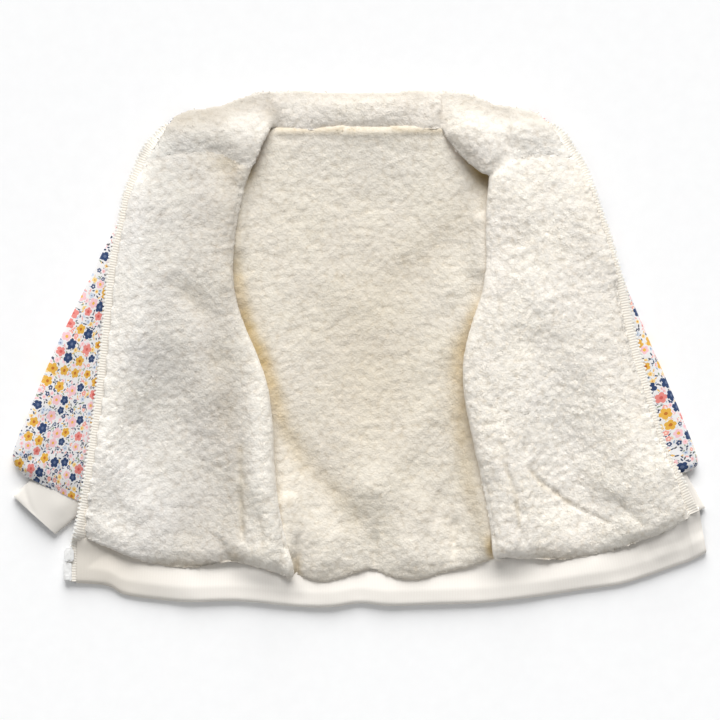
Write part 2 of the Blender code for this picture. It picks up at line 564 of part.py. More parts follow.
def tube(name, rows, side, slot):
    rings = [ring((side * oa, ya), (side * ob, yb), high, (high - SLEEVE_GAP) / 2)
             for oa, ya, ob, yb, high in rows]
    count = len(rings[0][0])
    points = [p for outer, _ in rings for p in outer] + [p for _, inner in rings for p in inner]
    faces, inside = [], len(rings) * count
    for r in range(len(rings) - 1):
        for i in range(count):
            j = (i + 1) % count
            a, b, c, d = r * count + i, r * count + j, (r + 1) * count + j, (r + 1) * count + i
            faces += [(a, b, c), (a, c, d), (a + inside, c + inside, b + inside), (a + inside, d + inside, c + inside)]
    for r in (0, len(rings) - 1):
        for i in range(count):
            a, b = r * count + i, r * count + (i + 1) % count
            faces += [(a, a + inside, b + inside), (a, b + inside, b)]
    return solid(name, points, faces, slot)


# ---------------------------------------------------------------- hem band
def hem_band():
    rows = resampled(HEM_BAND, 30)
    share = (0.0, 0.04, 0.27, 0.5, 0.73, 0.96, 1.0)
    low, up = rows[:, :2], rows[:, 2:]
    plan = np.stack([low + (up - low) * s for s in share], axis=1)
    thick = RIB * np.array([0.55, 1, 1, 1, 1, 1, 0.9])
    base = under(plan[..., 0], plan[..., 1], UNDER_BAND)
    wall("hem_band", raised(plan, base + thick), raised(plan, base), "cream_rib")


back()
hem_band()
left_edge = front(-1, "left", 1, LEFT_LINING_HEM, LEFT_NECK)
right_edge = front(1, "right", 2, RIGHT_LINING_HEM, RIGHT_NECK)
collar_plan, collar_base = collar()
tape(-1, "left", 1, *left_edge, collar_plan[:3].transpose(1, 0, 2), collar_base[:3].T)
tape(1, "right", 2, *right_edge, collar_plan[:-4:-1].transpose(1, 0, 2), collar_base[:-4:-1].T)
slider()
prism("zip_box", [(-236.2, -185.2), (-235.2, -186.4), (-230.6, -186.4), (-229.6, -185.2), (-229.6, -170.4),
                  (-230.4, -169.6), (-235.4, -169.6), (-236.2, -170.4)], 0.4, 6.2, "zip_plastic")
tube("sleeve_left", LEFT_SLEEVE, -1, "floral_fleece")
tube("sleeve_right", RIGHT_SLEEVE, 1, "floral_fleece")
tube("cuff_left", LEFT_CUFF, -1, "cream_rib")
tube("cuff_right", RIGHT_CUFF, 1, "cream_rib")
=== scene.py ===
"""Toddler zip jacket with a sherpa lining, lying open on its back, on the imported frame."""

import math
from functools import partial

import bmesh
import bpy
import numpy as np
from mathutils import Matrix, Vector, noise
from mathutils.bvhtree import BVHTree


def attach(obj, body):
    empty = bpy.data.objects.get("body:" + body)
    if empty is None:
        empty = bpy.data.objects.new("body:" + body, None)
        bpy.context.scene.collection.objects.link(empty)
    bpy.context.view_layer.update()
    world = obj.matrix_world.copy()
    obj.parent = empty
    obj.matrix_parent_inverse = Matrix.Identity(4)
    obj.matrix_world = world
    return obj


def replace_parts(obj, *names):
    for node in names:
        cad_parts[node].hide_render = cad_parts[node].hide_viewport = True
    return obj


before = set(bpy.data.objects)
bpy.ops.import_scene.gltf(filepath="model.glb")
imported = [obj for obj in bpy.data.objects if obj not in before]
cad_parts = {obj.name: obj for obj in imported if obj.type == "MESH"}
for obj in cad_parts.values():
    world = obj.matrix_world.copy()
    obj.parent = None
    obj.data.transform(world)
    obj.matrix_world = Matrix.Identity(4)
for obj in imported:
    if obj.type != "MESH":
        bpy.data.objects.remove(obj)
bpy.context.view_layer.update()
noise.seed_set(11)  # or the noise that bends the pile would take its offsets from the clock


# ---------------------------------------------------------------- back lining
# Sherpa: a polyester knit whose long pile is tumbled into curly nubs 3 to 5 mm across. The back
# panel is cut in one piece, sewn into the side seams, the neck seam and the hem band, and lies
# pile up. It is slack above the band, so it stands in soft puffs with creases between them.
BACK_CREASES = (  # x0, y0, x1, y1, half width, height, all mm
    (-70, 174, 68, 174, 26, 3.0), (-66, 176, 64, 176, 5, 0.4), (-22, 173, 32, 173, 9, 0.8),
    (-58, -66, -44, -88, 9, -2.0), (-44, -88, -26, -110, 10, -1.6), (-26, -110, -6, -122, 9, -1.4),
    (-49, -150, -49, -181, 3.5, -3.4), (-79, -152, -77, -180, 3.5, -2.2),
    (13, -148, 13, -174, 4.5, -3.0), (77, -136, 76, -164, 4, -2.8), (108, -150, 106, -166, 4, -2.6),
    (-20, -152, -30, -176, 9, 2.2), (36, -146, 44, -174, 11, 2.4), (-64, -150, -64, -176, 8, 1.8),
    (-84, 52, -70, -22, 4, -1.2), (78, -98, 72, -150, 7, -1.6), (-2, -110, 24, -112, 16, 3.6),
    (-40, -140, -26, -150, 12, 3.0), (30, -92, 66, -34, 14, 2.0), (-10, 122, 40, 112, 18, -1.2),
    (-30, 60, 10, 30, 16, 1.2), (96, 30, 50, -16, 12, 1.4), (84, 96, 30, 44, 16, -1.6),
    (70, 62, 84, 40, 12, 1.6), (-59, -90, -57, -100, 7, 2.0), (-57, -112, -53, -168, 10, 7.0),
    (99, 112, 97, 56, 9, 6.0), (-97, 136, -98, 74, 8, 5.5), (-97, 62, -92, 34, 8, 2.6),
    (96, 44, 90, 20, 8, 3.0), (99, 146, 107, 134, 8, -3.6), (-84, 176, -90, 142, 6, -2.8),
    (-4, -130, 0, -140, 8, -2.4), (46, -118, 52, -140, 9, 2.0), (66, -110, 60, -140, 6, -1.8),
    (97, -100, 106, -166, 9, 5.2),
)
BACK_PAINTED_SHADE = (  # the same, with how much painted shade darkens the pile's colour, or less than nothing for painted light where it is lit
    (-98, 120, -97, 64, 6, 0.22), (-98, 64, -90, 22, 8, 0.48), (-92, 24, -78, -6, 8, 0.66),
    (-78, -4, -68, -34, 8, 0.56), (-67, -34, -60, -62, 8, 0.36), (-58, -62, -46, -88, 9, 0.26),
    (-46, -88, -26, -106, 10, 0.16), (-26, -106, -6, -126, 8, 0.16), (97, 42, 88, 14, 8, 0.38),
    (89, 16, 79, -12, 11, 0.40), (83, -8, 82, -60, 12, 0.36), (82, -60, 90, -120, 10, 0.30),
    (92, -120, 104, -160, 9, 0.22), (104, -152, 107, -166, 5, 0.6), (-49, -164, -49, -182, 3.5, 0.35),
    (96, 152, 108, 130, 11, 0.62), (84, 160, 100, 140, 7, 0.5), (-84, 176, -92, 132, 9, 0.55),
    (-56, -168, -56, -180, 5, 0.3), (-3, -132, -2, -142, 8, 0.15), (96, 122, 26, 48, 20, 0.09),
    (4, 70, 8, -100, 60, 0.20), (8, -99, 14, -103, 12, -0.12), (-36, -140, -26, -146, 12, -0.06),
    (80, 50, 76, 44, 14, -0.05), (-70, 40, -40, -40, 20, -0.03), (-60, 150, 60, 150, 22, -0.08),
    (-40, -166, 90, -160, 12, -0.08), (-68, 176, 70, 176, 4.5, 0.40),
)
NUBS_APART = 4.2  # mm
TUFTED = 0.28  # height in mm of the tufts that groups of nubs stand up in
MESH_STEP = 0.0018  # m, fine enough to draw one nub and within the limit of triangles


def relief(table, points):
    """Height in mm of the soft ridges and troughs over each point."""
    x, y = points[..., 0], points[..., 1]
    total = np.zeros_like(x)
    for x0, y0, x1, y1, half, high in table:
        run_x, run_y = x1 - x0, y1 - y0
        along = np.clip(((x - x0) * run_x + (y - y0) * run_y) / (run_x**2 + run_y**2), 0, 1)
        off = np.hypot(x - x0 - along * run_x, y - y0 - along * run_y)
        # Half as high at its ends, so two that meet end to end run on evenly.
        from_end = np.minimum(along, 1 - along) * math.hypot(run_x, run_y)
        grown = 0.5 + 0.5 * np.clip(from_end / half, 0, 1)
        total += high * grown * np.exp(-((off / half) ** 2))
    return total


def paint_shade_amount(table, points):
    """How much painted shade darkens and warms the pile's colour over each point, 0 to 1; rows with a
    minus lighten it, as painted light.
    """
    return np.clip(0.08 + relief(table, points), 0, 1)


def linear(colour):
    """An sRGB hex colour as linear red, green, blue and alpha."""
    parts = [int(colour[i:i + 2], 16) / 255 for i in (1, 3, 5)]
    return [c / 12.92 if c <= 0.04045 else ((c + 0.055) / 1.055) ** 2.4 for c in parts] + [1.0]


def add_node(tree, kind, sockets=(), **settings):
    """One shader node with its settings, and a value or a link on each socket, by name or in
    order. A node given as a value stands for the first of its outputs in use."""
    made = tree.nodes.new("ShaderNode" + kind)
    for name, value in settings.items():
        setattr(made, name, value)
    for name, value in sockets.items() if isinstance(sockets, dict) else enumerate(sockets):
        if isinstance(value, bpy.types.Node):
            value = next(socket for socket in value.outputs if socket.enabled)
        if isinstance(value, bpy.types.NodeSocket):
            tree.links.new(value, made.inputs[name])
        else:
            made.inputs[name].default_value = value
    return made


def stops(ramp, rows, step="LINEAR"):
    """Sets a colour ramp's stops from rows of place and hex colour."""
    ramp.color_ramp.interpolation = step
    marks = ramp.color_ramp.elements
    while len(marks) < len(rows):
        marks.new(0.5)
    for mark, (place, colour) in zip(marks, rows):
        mark.position, mark.color = place, linear(colour)


def new_material(name):
    """An empty material, and the function that adds a node to it."""
    made = bpy.data.materials.new(name)
    made.use_nodes = True
    made.node_tree.nodes.clear()
    return made, partial(add_node, made.node_tree)


def placed(name, data):
    """A new object in the scene, of a mesh, a lamp or a camera."""
    made = bpy.data.objects.new(name, data)
    bpy.context.scene.collection.objects.link(made)
    return made


def mesh_of(shape, name):
    """A new mesh of the edited shape, which is then let go."""
    mesh = bpy.data.meshes.new(name)
    shape.to_mesh(mesh)
    shape.free()
    return mesh


def finished_mesh(piece):
    """Swaps the piece's mesh for what its modifiers make of it."""
    graph = bpy.context.evaluated_depsgraph_get()
    made = bpy.data.meshes.new_from_object(piece.evaluated_get(graph))
    piece.modifiers.clear()
    piece.data = made
    return made


def surface_of(cad_name):
    """The CAD piece's surface, to find the nearest place on it or what is under a point."""
    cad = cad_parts[cad_name].data
    return BVHTree.FromPolygons([v.co for v in cad.vertices], [p.vertices for p in cad.polygons])


def read(items, field, wide, kind=np.float32):
    """One field of every point, edge, corner or face, as rows so many numbers wide."""
    flat = np.empty(len(items) * wide, kind)
    items.foreach_get(field, flat)
    return flat.reshape(-1, wide)


def points_of(mesh):
    return read(mesh.vertices, "co", 3).astype(float)


def normals_of(mesh):
    return read(mesh.vertex_normals, "vector", 3).astype(float)


def smooth_shaded(mesh):
    mesh.polygons.foreach_set("use_smooth", np.ones(len(mesh.polygons), bool))


def set_shades(mesh, **shades):
    """Under each name, one number for each point, which the material reads."""
    for name, value in shades.items():
        layer = mesh.attributes.new(name, "FLOAT", "POINT")
        layer.data.foreach_set("value", value.astype(np.float32))


def eased(mesh, points, share, rounds):
    """Points drawn toward their neighbours' middle, by each point's own share."""
    ends = read(mesh.edges, "vertices", 2, np.int32)
    near = np.bincount(ends.ravel(), minlength=len(points))[:, None]
    for _ in range(rounds):
        total = np.zeros_like(points)
        np.add.at(total, ends[:, 0], points[ends[:, 1]])
        np.add.at(total, ends[:, 1], points[ends[:, 0]])
        points = points + share[:, None] * (total / near - points)
    return points


def move_points(mesh, points):
    mesh.vertices.foreach_set("co", points.astype(np.float32).ravel())
    mesh.update()


def softened(cad_name, piece_name):
    """A new object with the CAD piece's form, its facets rounded into one smooth surface."""
    shape = bmesh.new()
    shape.from_mesh(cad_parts[cad_name].data)
    bmesh.ops.remove_doubles(shape, verts=shape.verts, dist=1e-5)
    bmesh.ops.join_triangles(shape, faces=shape.faces, angle_face_threshold=math.radians(50),
                             angle_shape_threshold=math.radians(60))
    # The cut edges keep their line; only the broad faces round off.
    hold = shape.edges.layers.float.new("crease_edge")
    for line in shape.edges:
        if len(line.link_faces) == 2 and line.calc_face_angle() > math.radians(48):
            line[hold] = 0.85
    piece = placed(piece_name, mesh_of(shape, piece_name))
    round_off = piece.modifiers.new("round", "SUBSURF")
    round_off.levels = round_off.render_levels = 2
    return piece


def joined(pieces, name):
    """Several new objects made into one."""
    graph, shape = bpy.context.evaluated_depsgraph_get(), bmesh.new()
    for piece in pieces:
        shape.from_mesh(bpy.data.meshes.new_from_object(piece.evaluated_get(graph)))
        bpy.data.objects.remove(piece)
    return placed(name, mesh_of(shape, name))


def sherpa_panels(panels, creases, hollows, seams, tall, droops=()):
    """The pile as real relief. Panels that are sewn edge to edge are raised as one skin, because
    the pile closes over the seam, and then parted along it. Each panel: CAD piece, name, finish."""
    whole = joined([softened(cad_name, name) for cad_name, name, _ in panels], "pile")
    even = whole.modifiers.new("even", "REMESH")
    even.mode, even.voxel_size = "VOXEL", MESH_STEP
    settle = whole.modifiers.new("settle", "SMOOTH")
    settle.factor, settle.iterations = 0.5, 8
    mesh = finished_mesh(whole)
    solids = [surface_of(cad_name) for cad_name, _, _ in panels]
    points = points_of(mesh)
    owner = np.array([min(range(len(solids)), key=lambda k: solids[k].find_nearest(Vector(at))[3])
                      for at in points])
    points, facing = points * 1000, normals_of(mesh)
    up = np.clip((facing[:, 2] - 0.1) / 0.5, 0, 1)
    # What hangs is the layer on top, not the one folded under it.
    upper = np.clip((points[:, 2] - 9) / 4, 0, 1)
    points[:, 2] += relief(creases, points) * up
    points[:, 2] -= relief(droops, points) * upper
    move_points(mesh, points / 1000)
    facing = normals_of(mesh)
    heights, painted_nub_shading = np.empty(len(points)), np.empty(len(points))
    for i, place in enumerate(points):
        at = Vector(place)
        bent = at + noise.noise_vector(at * 0.19) * 2.2
        nub = max(0.0, 1 - (noise.voronoi(bent / NUBS_APART)[0][0] / 0.8) ** 2)
        tuft = noise.noise(at / 13.0)
        heights[i] = 0.6 * nub + TUFTED * tuft - 0.2
        # Painted shade: this number makes the pile's colour lighter on the tops of nubs and tufts, and
        # darker between them.
        painted_nub_shading[i] = 0.75 * nub + 0.25 * (0.5 + tuft)
    # The right side of the jacket is less worn, so its pile stands taller and curlier. The face
    # that lies on the shell keeps its pile short, because it is pressed there, and at a cut edge
    # the pile springs out over the seam.
    heights *= tall * (1 + 0.1 * np.clip(points[:, 0] / 90, 0, 1))
    reach = np.clip(0.35 + 0.65 * (facing[:, 2] + 0.6), 0.15, 1.0)
    spring = np.clip((1.05 - np.abs(facing[:, 2])) / 0.6, 0, 1)
    spring *= np.clip((facing[:, 2] + 0.95) / 0.5, 0, 1)
    spring *= 2.0 + relief(seams, points)
    points = points + facing * (heights * reach + spring)[:, None]
    # The sprung edge is a soft roll, with no single nub standing out of it.
    turned = np.clip((0.75 - np.abs(facing[:, 2])) / 0.35, 0, 1)
    move_points(mesh, eased(mesh, points, 0.5 * turned, 2) / 1000)
    set_shades(mesh, curl=painted_nub_shading, hollow=paint_shade_amount(hollows, points))
    smooth_shaded(mesh)
    made = []
    for k, (cad_name, name, finish) in enumerate(panels):
        shape = bmesh.new()
        shape.from_mesh(mesh)
        shape.faces.ensure_lookup_table()
        other = [f for f in shape.faces if owner[f.verts[0].index] != k]
        bmesh.ops.delete(shape, geom=other, context="FACES")
        rim = [e for e in shape.edges if e.is_boundary]
        for edge in rim:
            edge.smooth = False
        bmesh.ops.holes_fill(shape, edges=rim, sides=0)
        own = mesh_of(shape, name)
        own.materials.append(finish)
        piece = placed(name, own)
        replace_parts(piece, cad_name)
        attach(piece, "root")
        made.append(piece)
    bpy.data.objects.remove(whole)
    return made


def loose_curls(base, piece_name, count, seed, hollows, length, lift, droops=()):
    """Locks of pile that stand out of the nubs: each one a short curled ribbon of fibre. There are
    none where the cloth hangs over an edge, because its pile is pressed there."""
    mesh, chance = base.data, np.random.default_rng(seed)
    centre = read(mesh.polygons, "center", 3) * 1000.0
    facing = read(mesh.polygons, "normal", 3).astype(float)
    area = read(mesh.polygons, "area", 1)[:, 0]
    share = area * np.clip(facing[:, 2] - 0.62, 0, 1) ** 0.5
    share = share * np.clip(1 - relief(droops, centre) / 3, 0, 1)
    picked = chance.choice(len(area), count, p=share / share.sum())
    root, out = centre[picked], facing[picked]
    loose = chance.normal(size=(count, 3))
    lay = np.cross(out, loose)
    lay /= np.linalg.norm(lay, axis=1)[:, None]
    beside = np.cross(out, lay)
    root = root + lay * chance.uniform(-0.9, 0.9, (count, 1))
    root = root + beside * chance.uniform(-0.9, 0.9, (count, 1))
    bend = chance.uniform(2.2, 4.6, (count, 1))
    reach = length * chance.uniform(0.6, 1.25, (count, 1)) / bend
    height = lift * chance.uniform(0.35, 1.2, (count, 1))
    tilt = chance.uniform(-0.45, 0.45, (count, 1))
    points, shine = np.zeros((count, 4, 2, 3)), np.zeros((count, 4, 2, 3))
    for k, at in enumerate((0.0, 0.34, 0.67, 1.0)):
        angle = bend * at
        spot = root + lay * reach * np.sin(angle) + beside * reach * (1 - np.cos(angle))
        spot = spot + out * (height * math.sin(math.pi * (0.08 + 0.74 * at)) - 0.25)
        way = lay * np.cos(angle) + beside * np.sin(angle)
        wide = np.cross(out, way) * np.cos(tilt) + out * np.sin(tilt)
        half = (0.30, 0.52, 0.46, 0.16)[k]
        points[:, k, 0], points[:, k, 1] = spot - wide * half, spot + wide * half
        # A lock of fine fibres takes the light of the pile round it, more than its own.
        flank = np.cross(way, wide)
        shine[:, k] = (out + 0.28 * flank * np.sign(flank[:, 2:3] + 1e-6))[:, None]
    first = np.arange(count)[:, None] * 8
    faces = np.concatenate([first + np.array([2 * k, 2 * k + 2, 2 * k + 3, 2 * k + 1]) for k in range(3)])
    made = bpy.data.meshes.new(piece_name)
    made.from_pydata((points.reshape(-1, 3) / 1000).tolist(), [], faces.tolist())
    bright = np.repeat(chance.uniform(0.25, 1.0, count), 8)
    where = points.reshape(-1, 3)
    set_shades(made, curl=bright, hollow=paint_shade_amount(hollows, where))
    smooth_shaded(made)
    shine = shine.reshape(-1, 3)
    made.normals_split_custom_set_from_vertices((shine / np.linalg.norm(shine, axis=1)[:, None]).tolist())
    made.materials.append(mesh.materials[0])
    piece = placed(piece_name, made)
    # Single fibres let the light through, so the locks throw no hard shadow on the pile.
    piece.visible_shadow = False
    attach(piece, "root")


def sherpa_fleece(name, colours, shades=("#b9ab90", "#bfa671")):
    """Matt polyester pile with no highlight at all: cream nubs, with painted shade that darkens and warms
    the colour between them towards the roots. Colours: rows of how far across the jacket, 0 to 1, with
    the crown's and the root's colour. Shades: the colours of painted shade for pile a little under a
    fold, and for pile deep in a fold."""
    made, add = new_material(name)
    place = add("TexCoord").outputs["Object"]
    painted_nub_shading = add("Attribute", attribute_name="curl")
    # Loose fibres bend the pattern of nubs, 4 mm apart, and of the single curls in them, 1.7 mm apart.
    stray = add("TexNoise", {"Vector": place, "Scale": 420.0, "Detail": 3.0})
    stray = add("VectorMath", (stray.outputs["Color"], (0.0022,) * 3), operation="MULTIPLY")
    bent = add("VectorMath", (place, stray))
    nubs = add("TexVoronoi", {"Vector": bent, "Scale": 250.0}, feature="F1")
    strands = add("TexVoronoi", {"Vector": bent, "Scale": 590.0}, feature="F1")
    fuzz = add("TexNoise", {"Vector": place, "Scale": 1500.0, "Detail": 4.0, "Roughness": 0.7})
    round_nub = add("Math", (nubs, 2.0), operation="POWER")
    low = add("Math", (strands, 0.30, round_nub), operation="MULTIPLY_ADD")
    low = add("Math", (painted_nub_shading.outputs["Fac"], -0.35, low), operation="MULTIPLY_ADD")
    across = add("SeparateXYZ", {"Vector": place})
    across = add("MapRange", {"Value": across.outputs["X"], "From Min": -0.2, "From Max": 0.2})
    crown = add("ValToRGB", {"Fac": across})
    stops(crown, [(at, light) for at, light, _ in colours])
    root = add("ValToRGB", {"Fac": across})
    stops(root, [(at, dark) for at, _, dark in colours])
    # Painted shade: towards the edge of each nub, between the fine curls and where the mesh's number is
    # low, the colour goes over to the root's darker one.
    sunk = add("MapRange", {"Value": low, "From Min": 0.1, "From Max": 1.0})
    tone = add("Mix", {"Factor": sunk, "A": crown, "B": root}, data_type="RGBA")
    # Painted shade: the colour is darkened and warmed towards the shade colours under folds, in creases
    # and on the collar's top, where the table puts shade; rows below zero are painted light.
    hollow = add("Attribute", attribute_name="hollow")
    shaded = add("ValToRGB", {"Fac": hollow.outputs["Fac"]})
    stops(shaded, ((0.15, shades[0]), (0.5, shades[1])))
    deep = add("Mix", {"Factor": hollow.outputs["Fac"], "A": tone, "B": shaded}, data_type="RGBA")
    # Whole areas of pile lean one way or another and take the light a little differently.
    lean = add("TexNoise", {"Vector": place, "Scale": 26.0, "Detail": 2.0})
    leant = add("ValToRGB", {"Fac": lean})
    stops(leant, ((0.32, "#fcfaf7"), (0.68, "#fffdf8")))
    pile = add("Mix", {"Factor": 1.0, "A": deep, "B": leant}, data_type="RGBA", blend_type="MULTIPLY")
    raised = add("Math", (round_nub, -1.0, strands), operation="MULTIPLY_ADD")
    raised = add("Math", (fuzz, 0.5, raised), operation="MULTIPLY_ADD")
    bump = add("Bump", {"Height": raised, "Strength": 0.26, "Distance": 0.0012})
    skin = add("BsdfPrincipled", {"Base Color": pile, "Roughness": 1.0, "Specular IOR Level": 0.15,
        "Sheen Weight": 0.2, "Sheen Roughness": 0.6, "Sheen Tint": linear("#fffaf2"), "Normal": bump})
    add("OutputMaterial", {"Surface": skin})
    return made


back_pile = sherpa_fleece("sherpa fleece, back", [
    (end, "#eee9e0", "#dcd4c7") for end in (0.0, 1.0)])
NECK_SEAM = ((-100, 171, 100, 171, 7, 3.8), (-24, 172, 76, 172, 8, 2.6))
sherpa_back, = sherpa_panels(
    [("back_lining", "sherpa_back", back_pile)], BACK_CREASES, BACK_PAINTED_SHADE, NECK_SEAM, 1.3)
loose_curls(sherpa_back, "sherpa_back_curls", 9000, 3, BACK_PAINTED_SHADE, 2.4, 0.4)


# ---------------------------------------------------------------- front and collar linings
# Two more panels of the same sherpa, sewn along the zip tape and rolled over at the fold, so the
# pile faces up on the opened part and shows round the roll. The stand collar's lining is sewn to
# both along the neck seam, where the pile closes over the stitches, and stands up in two lobes.
FRONT_CREASES = (
    (-174, 138, -173, 0, 8, 2.4), (-98, 138, -97, 76, 8, -2.2), (-61, -104, -59, -164, 8, -4.0),
    (-127, 108, -122, 88, 14, -2.4), (-143, 52, -117, 24, 10, -2.8), (-113, -2, -111, -16, 11, -3.0),
    (-107, -34, -105, -64, 11, -2.0), (-109, 154, -104, 134, 12, -3.0), (-93, -70, -94, -104, 4, -1.4),
    (-94, -112, -92, -150, 3.4, -2.6), (-78, -136, -76, -158, 4, -1.4), (-83, -38, -80, -120, 6.5, 2.4),
    (-196, -84, -166, -140, 16, 3.4), (-136, -134, -138, -160, 12, -2.0), (-154, 66, -148, 54, 10, 1.6),
    (-104, 60, -106, 44, 6, 1.6), (-60, -150, -62, -178, 5, -1.4), (-112, -150, -104, -166, 5, -1.6),
    (-212, -140, -180, -156, 10, 1.4), (-168, -172, -111, -174, 7, -2.4),
    (-104, -172, -56, -180, 9, -4.0), (135, -94, 143, -104, 2.4, -1.8),
    (143, -104, 156, -113, 2.2, -1.6), (156, -113, 169, -124, 2.2, -1.6),
    (169, -124, 201, -138, 2.4, -1.4), (112, -70, 117, -94, 3, -1.6), (117, -94, 126, -118, 3, -2.0),
    (134, -68, 132, -84, 3.4, -1.4), (123, -120, 129, -132, 3.4, -2.6),
    (125, -136, 133, -156, 3.4, -2.4), (112, -60, 118, -100, 9, 1.6), (150, -128, 164, -150, 11, 1.2),
    (182, -92, 208, -114, 9, 2.0), (205, -120, 226, -138, 5, -1.8), (112, 30, 112, -30, 8, 1.2),
    (111, 120, 107, 62, 8, -2.4), (102, -98, 110, -160, 9, -2.8), (122, 92, 122, 76, 12, -1.8),
    (143, 52, 150, 28, 15, 2.6), (130, 10, 146, -4, 12, -1.6), (203, 56, 219, -53, 7, -1.8),
    (232, -84, 238, -110, 12, 2.4), (176, -20, 196, -70, 9, -1.4), (128, 130, 140, 96, 9, 1.2),
    (172, 120, 196, 60, 9, 1.6), (150, -30, 162, -60, 10, 1.4), (186, -140, 190, -160, 5, -1.8),
    (116, -168, 175, -170, 8, -3.8), (175, -170, 225, -156, 8, -2.8), (225, -156, 258, -140, 7, -1.8),
)
COLLAR_CREASES = (
    (-70, 196, -69, 186, 7, -2.0), (66, 192, 66, 184, 6, -1.4), (74, 168, 92, 148, 4, -1.2),
    (118, 186, 119, 156, 5, -2.2), (119, 156, 110, 144, 5, -1.6), (-40, 194, 40, 194, 7, 0.6),
    (84, 188, 100, 172, 10, 1.8), (-124, 186, -104, 178, 9, 1.4), (-40, 177, 56, 177, 13, -5.0),
    (-114, 166, -172, 164, 9, -2.2), (114, 166, 168, 163, 9, -2.0), (-160, 134, -112, 134, 12, -1.2),
)
# Painted shade and painted light on the pile of the fronts and collar, the same way as on the back
FRONT_PAINTED_SHADE = (
    (-94, -76, -92, -148, 3.5, 0.20), (-78, -132, -76, -158, 4, 0.12), (-100, -160, -97, -170, 5, 0.25),
    (135, -94, 146, -108, 2.2, 0.22), (146, -108, 169, -122, 2.2, 0.24),
    (169, -122, 201, -138, 2, 0.14), (112, -70, 117, -94, 2, 0.12), (117, -94, 126, -118, 2.2, 0.18),
    (125, -118, 128, -142, 2.2, 0.22), (-71, 194, -67, 184, 9, 0.62), (66, 190, 67, 182, 6, 0.30),
    (72, 170, 104, 142, 3.5, 0.30), (-108, 160, -100, 140, 16, 0.34), (-127, 106, -123, 90, 14, 0.10),
    (-143, 52, -117, 24, 9, 0.15), (-114, 0, -111, -16, 12, 0.18), (-107, -30, -104, -66, 12, 0.16),
    (-102, 120, -104, 40, 12, 0.08), (-136, -136, -138, -162, 13, 0.12),
    (-168, -172, -111, -174, 7, 0.22), (139, -164, 203, -172, 8, 0.22), (203, 60, 222, -60, 9, 0.05),
    (124, 96, 122, 74, 12, 0.06), (132, 10, 146, -6, 12, 0.05), (-176, 140, -174, -20, 8, -0.08),
    (-82, -40, -81, -116, 6, -0.08), (-198, -78, -160, -138, 20, -0.08), (143, 52, 150, 30, 15, -0.05),
    (230, -84, 238, -106, 12, -0.06), (128, -10, 150, -70, 26, -0.05), (-170, 177, -130, 188, 13, 0.52),
    (-130, 186, -98, 193, 13, 0.50), (-98, 196, -74, 203, 10, 0.36), (-58, 207, 58, 207, 9, 0.34),
    (74, 204, 94, 197, 10, 0.30), (94, 197, 128, 189, 12, 0.36), (128, 189, 166, 178, 12, 0.34),
    (174, 150, 200, 92, 12, 0.10), (150, -44, 172, -84, 20, -0.05), (158, 84, 166, 62, 18, 0.05),
)
FRONT_DROOPS = (  # where the fronts hang down onto the hem band, and the collar's foot behind the neck
    (-34, 174, 36, 174, 6, 2.8), (-217, -152, -176, -168, 8, 4.0), (-176, -168, -134, -176, 8, 4.5),
    (-134, -176, -111, -172, 8, 4.5), (-111, -172, -56, -183, 8, 6.0), (108, -168, 157, -171, 8, 4.5),
    (157, -171, 201, -164, 8, 4.5), (201, -164, 241, -152, 8, 4.0), (241, -152, 262, -134, 8, 2.5),
)
OVER_EDGE = (  # where the pile springs out further over a seam or the tape
    (-56, 175, 56, 175, 7, -1.9), (172, 140, 198, 60, 9, 4.6), (198, 60, 216, -30, 9, 5.0),
    (216, -30, 252, -112, 9, 5.2), (-180, 134, -196, 60, 7, 2.6), (-196, 60, -207, -60, 7, 2.6),
    (-207, -60, -216, -140, 7, 2.4), (-168, 170, -120, 192, 7, 1.6), (120, 192, 164, 170, 7, 1.6),
)

# Partly the pile's own tone and partly painted light and shade: the colours step lighter and darker
# across the fronts as the light falls on them, lighter along the left zip, on the strip by the left fold
# and on the right front, darker on the inner left front.
front_pile = sherpa_fleece("sherpa fleece, fronts and collar", (
    (0.0, "#fbf9f6", "#e8e3dd"), (0.11, "#e8e6e3", "#d6d1cb"), (0.25, "#dfdbd5", "#ccc4b9"),
    (0.31, "#f6f3ed", "#e6e0d7"), (0.38, "#eae7e1", "#d8d1c6"), (0.62, "#f1ede8", "#ddd6cb"),
    (0.85, "#f8f5f0", "#e4ded5")))
# Painted shade: the collar's pile is given darker, greyer colours than the fronts', and greyer shade
# colours, because its back faces the light more squarely.
collar_pile = sherpa_fleece("sherpa fleece, collar", (
    (0.1, "#ecebe8", "#dad6d1"), (0.35, "#ece8e2", "#dad4ca"), (0.65, "#ede8e1", "#dad3c9"),
    (0.85, "#f6f4f0", "#e2dcd4")), ("#b3aa9e", "#a3998a"))
sherpa_left, sherpa_right, sherpa_collar = sherpa_panels(
    [("front_lining_left", "sherpa_front_left", front_pile),
     ("front_lining_right", "sherpa_front_right", front_pile),
     ("collar_lining", "sherpa_collar", collar_pile)],
    FRONT_CREASES + COLLAR_CREASES, FRONT_PAINTED_SHADE, OVER_EDGE, 1.35, FRONT_DROOPS)
loose_curls(sherpa_left, "sherpa_left_curls", 9000, 5, FRONT_PAINTED_SHADE, 2.6, 0.5, FRONT_DROOPS)
loose_curls(sherpa_right, "sherpa_right_curls", 12000, 7, FRONT_PAINTED_SHADE, 2.9, 0.7, FRONT_DROOPS)
loose_curls(sherpa_collar, "sherpa_collar_curls", 3500, 9, FRONT_PAINTED_SHADE, 2.6, 0.5)


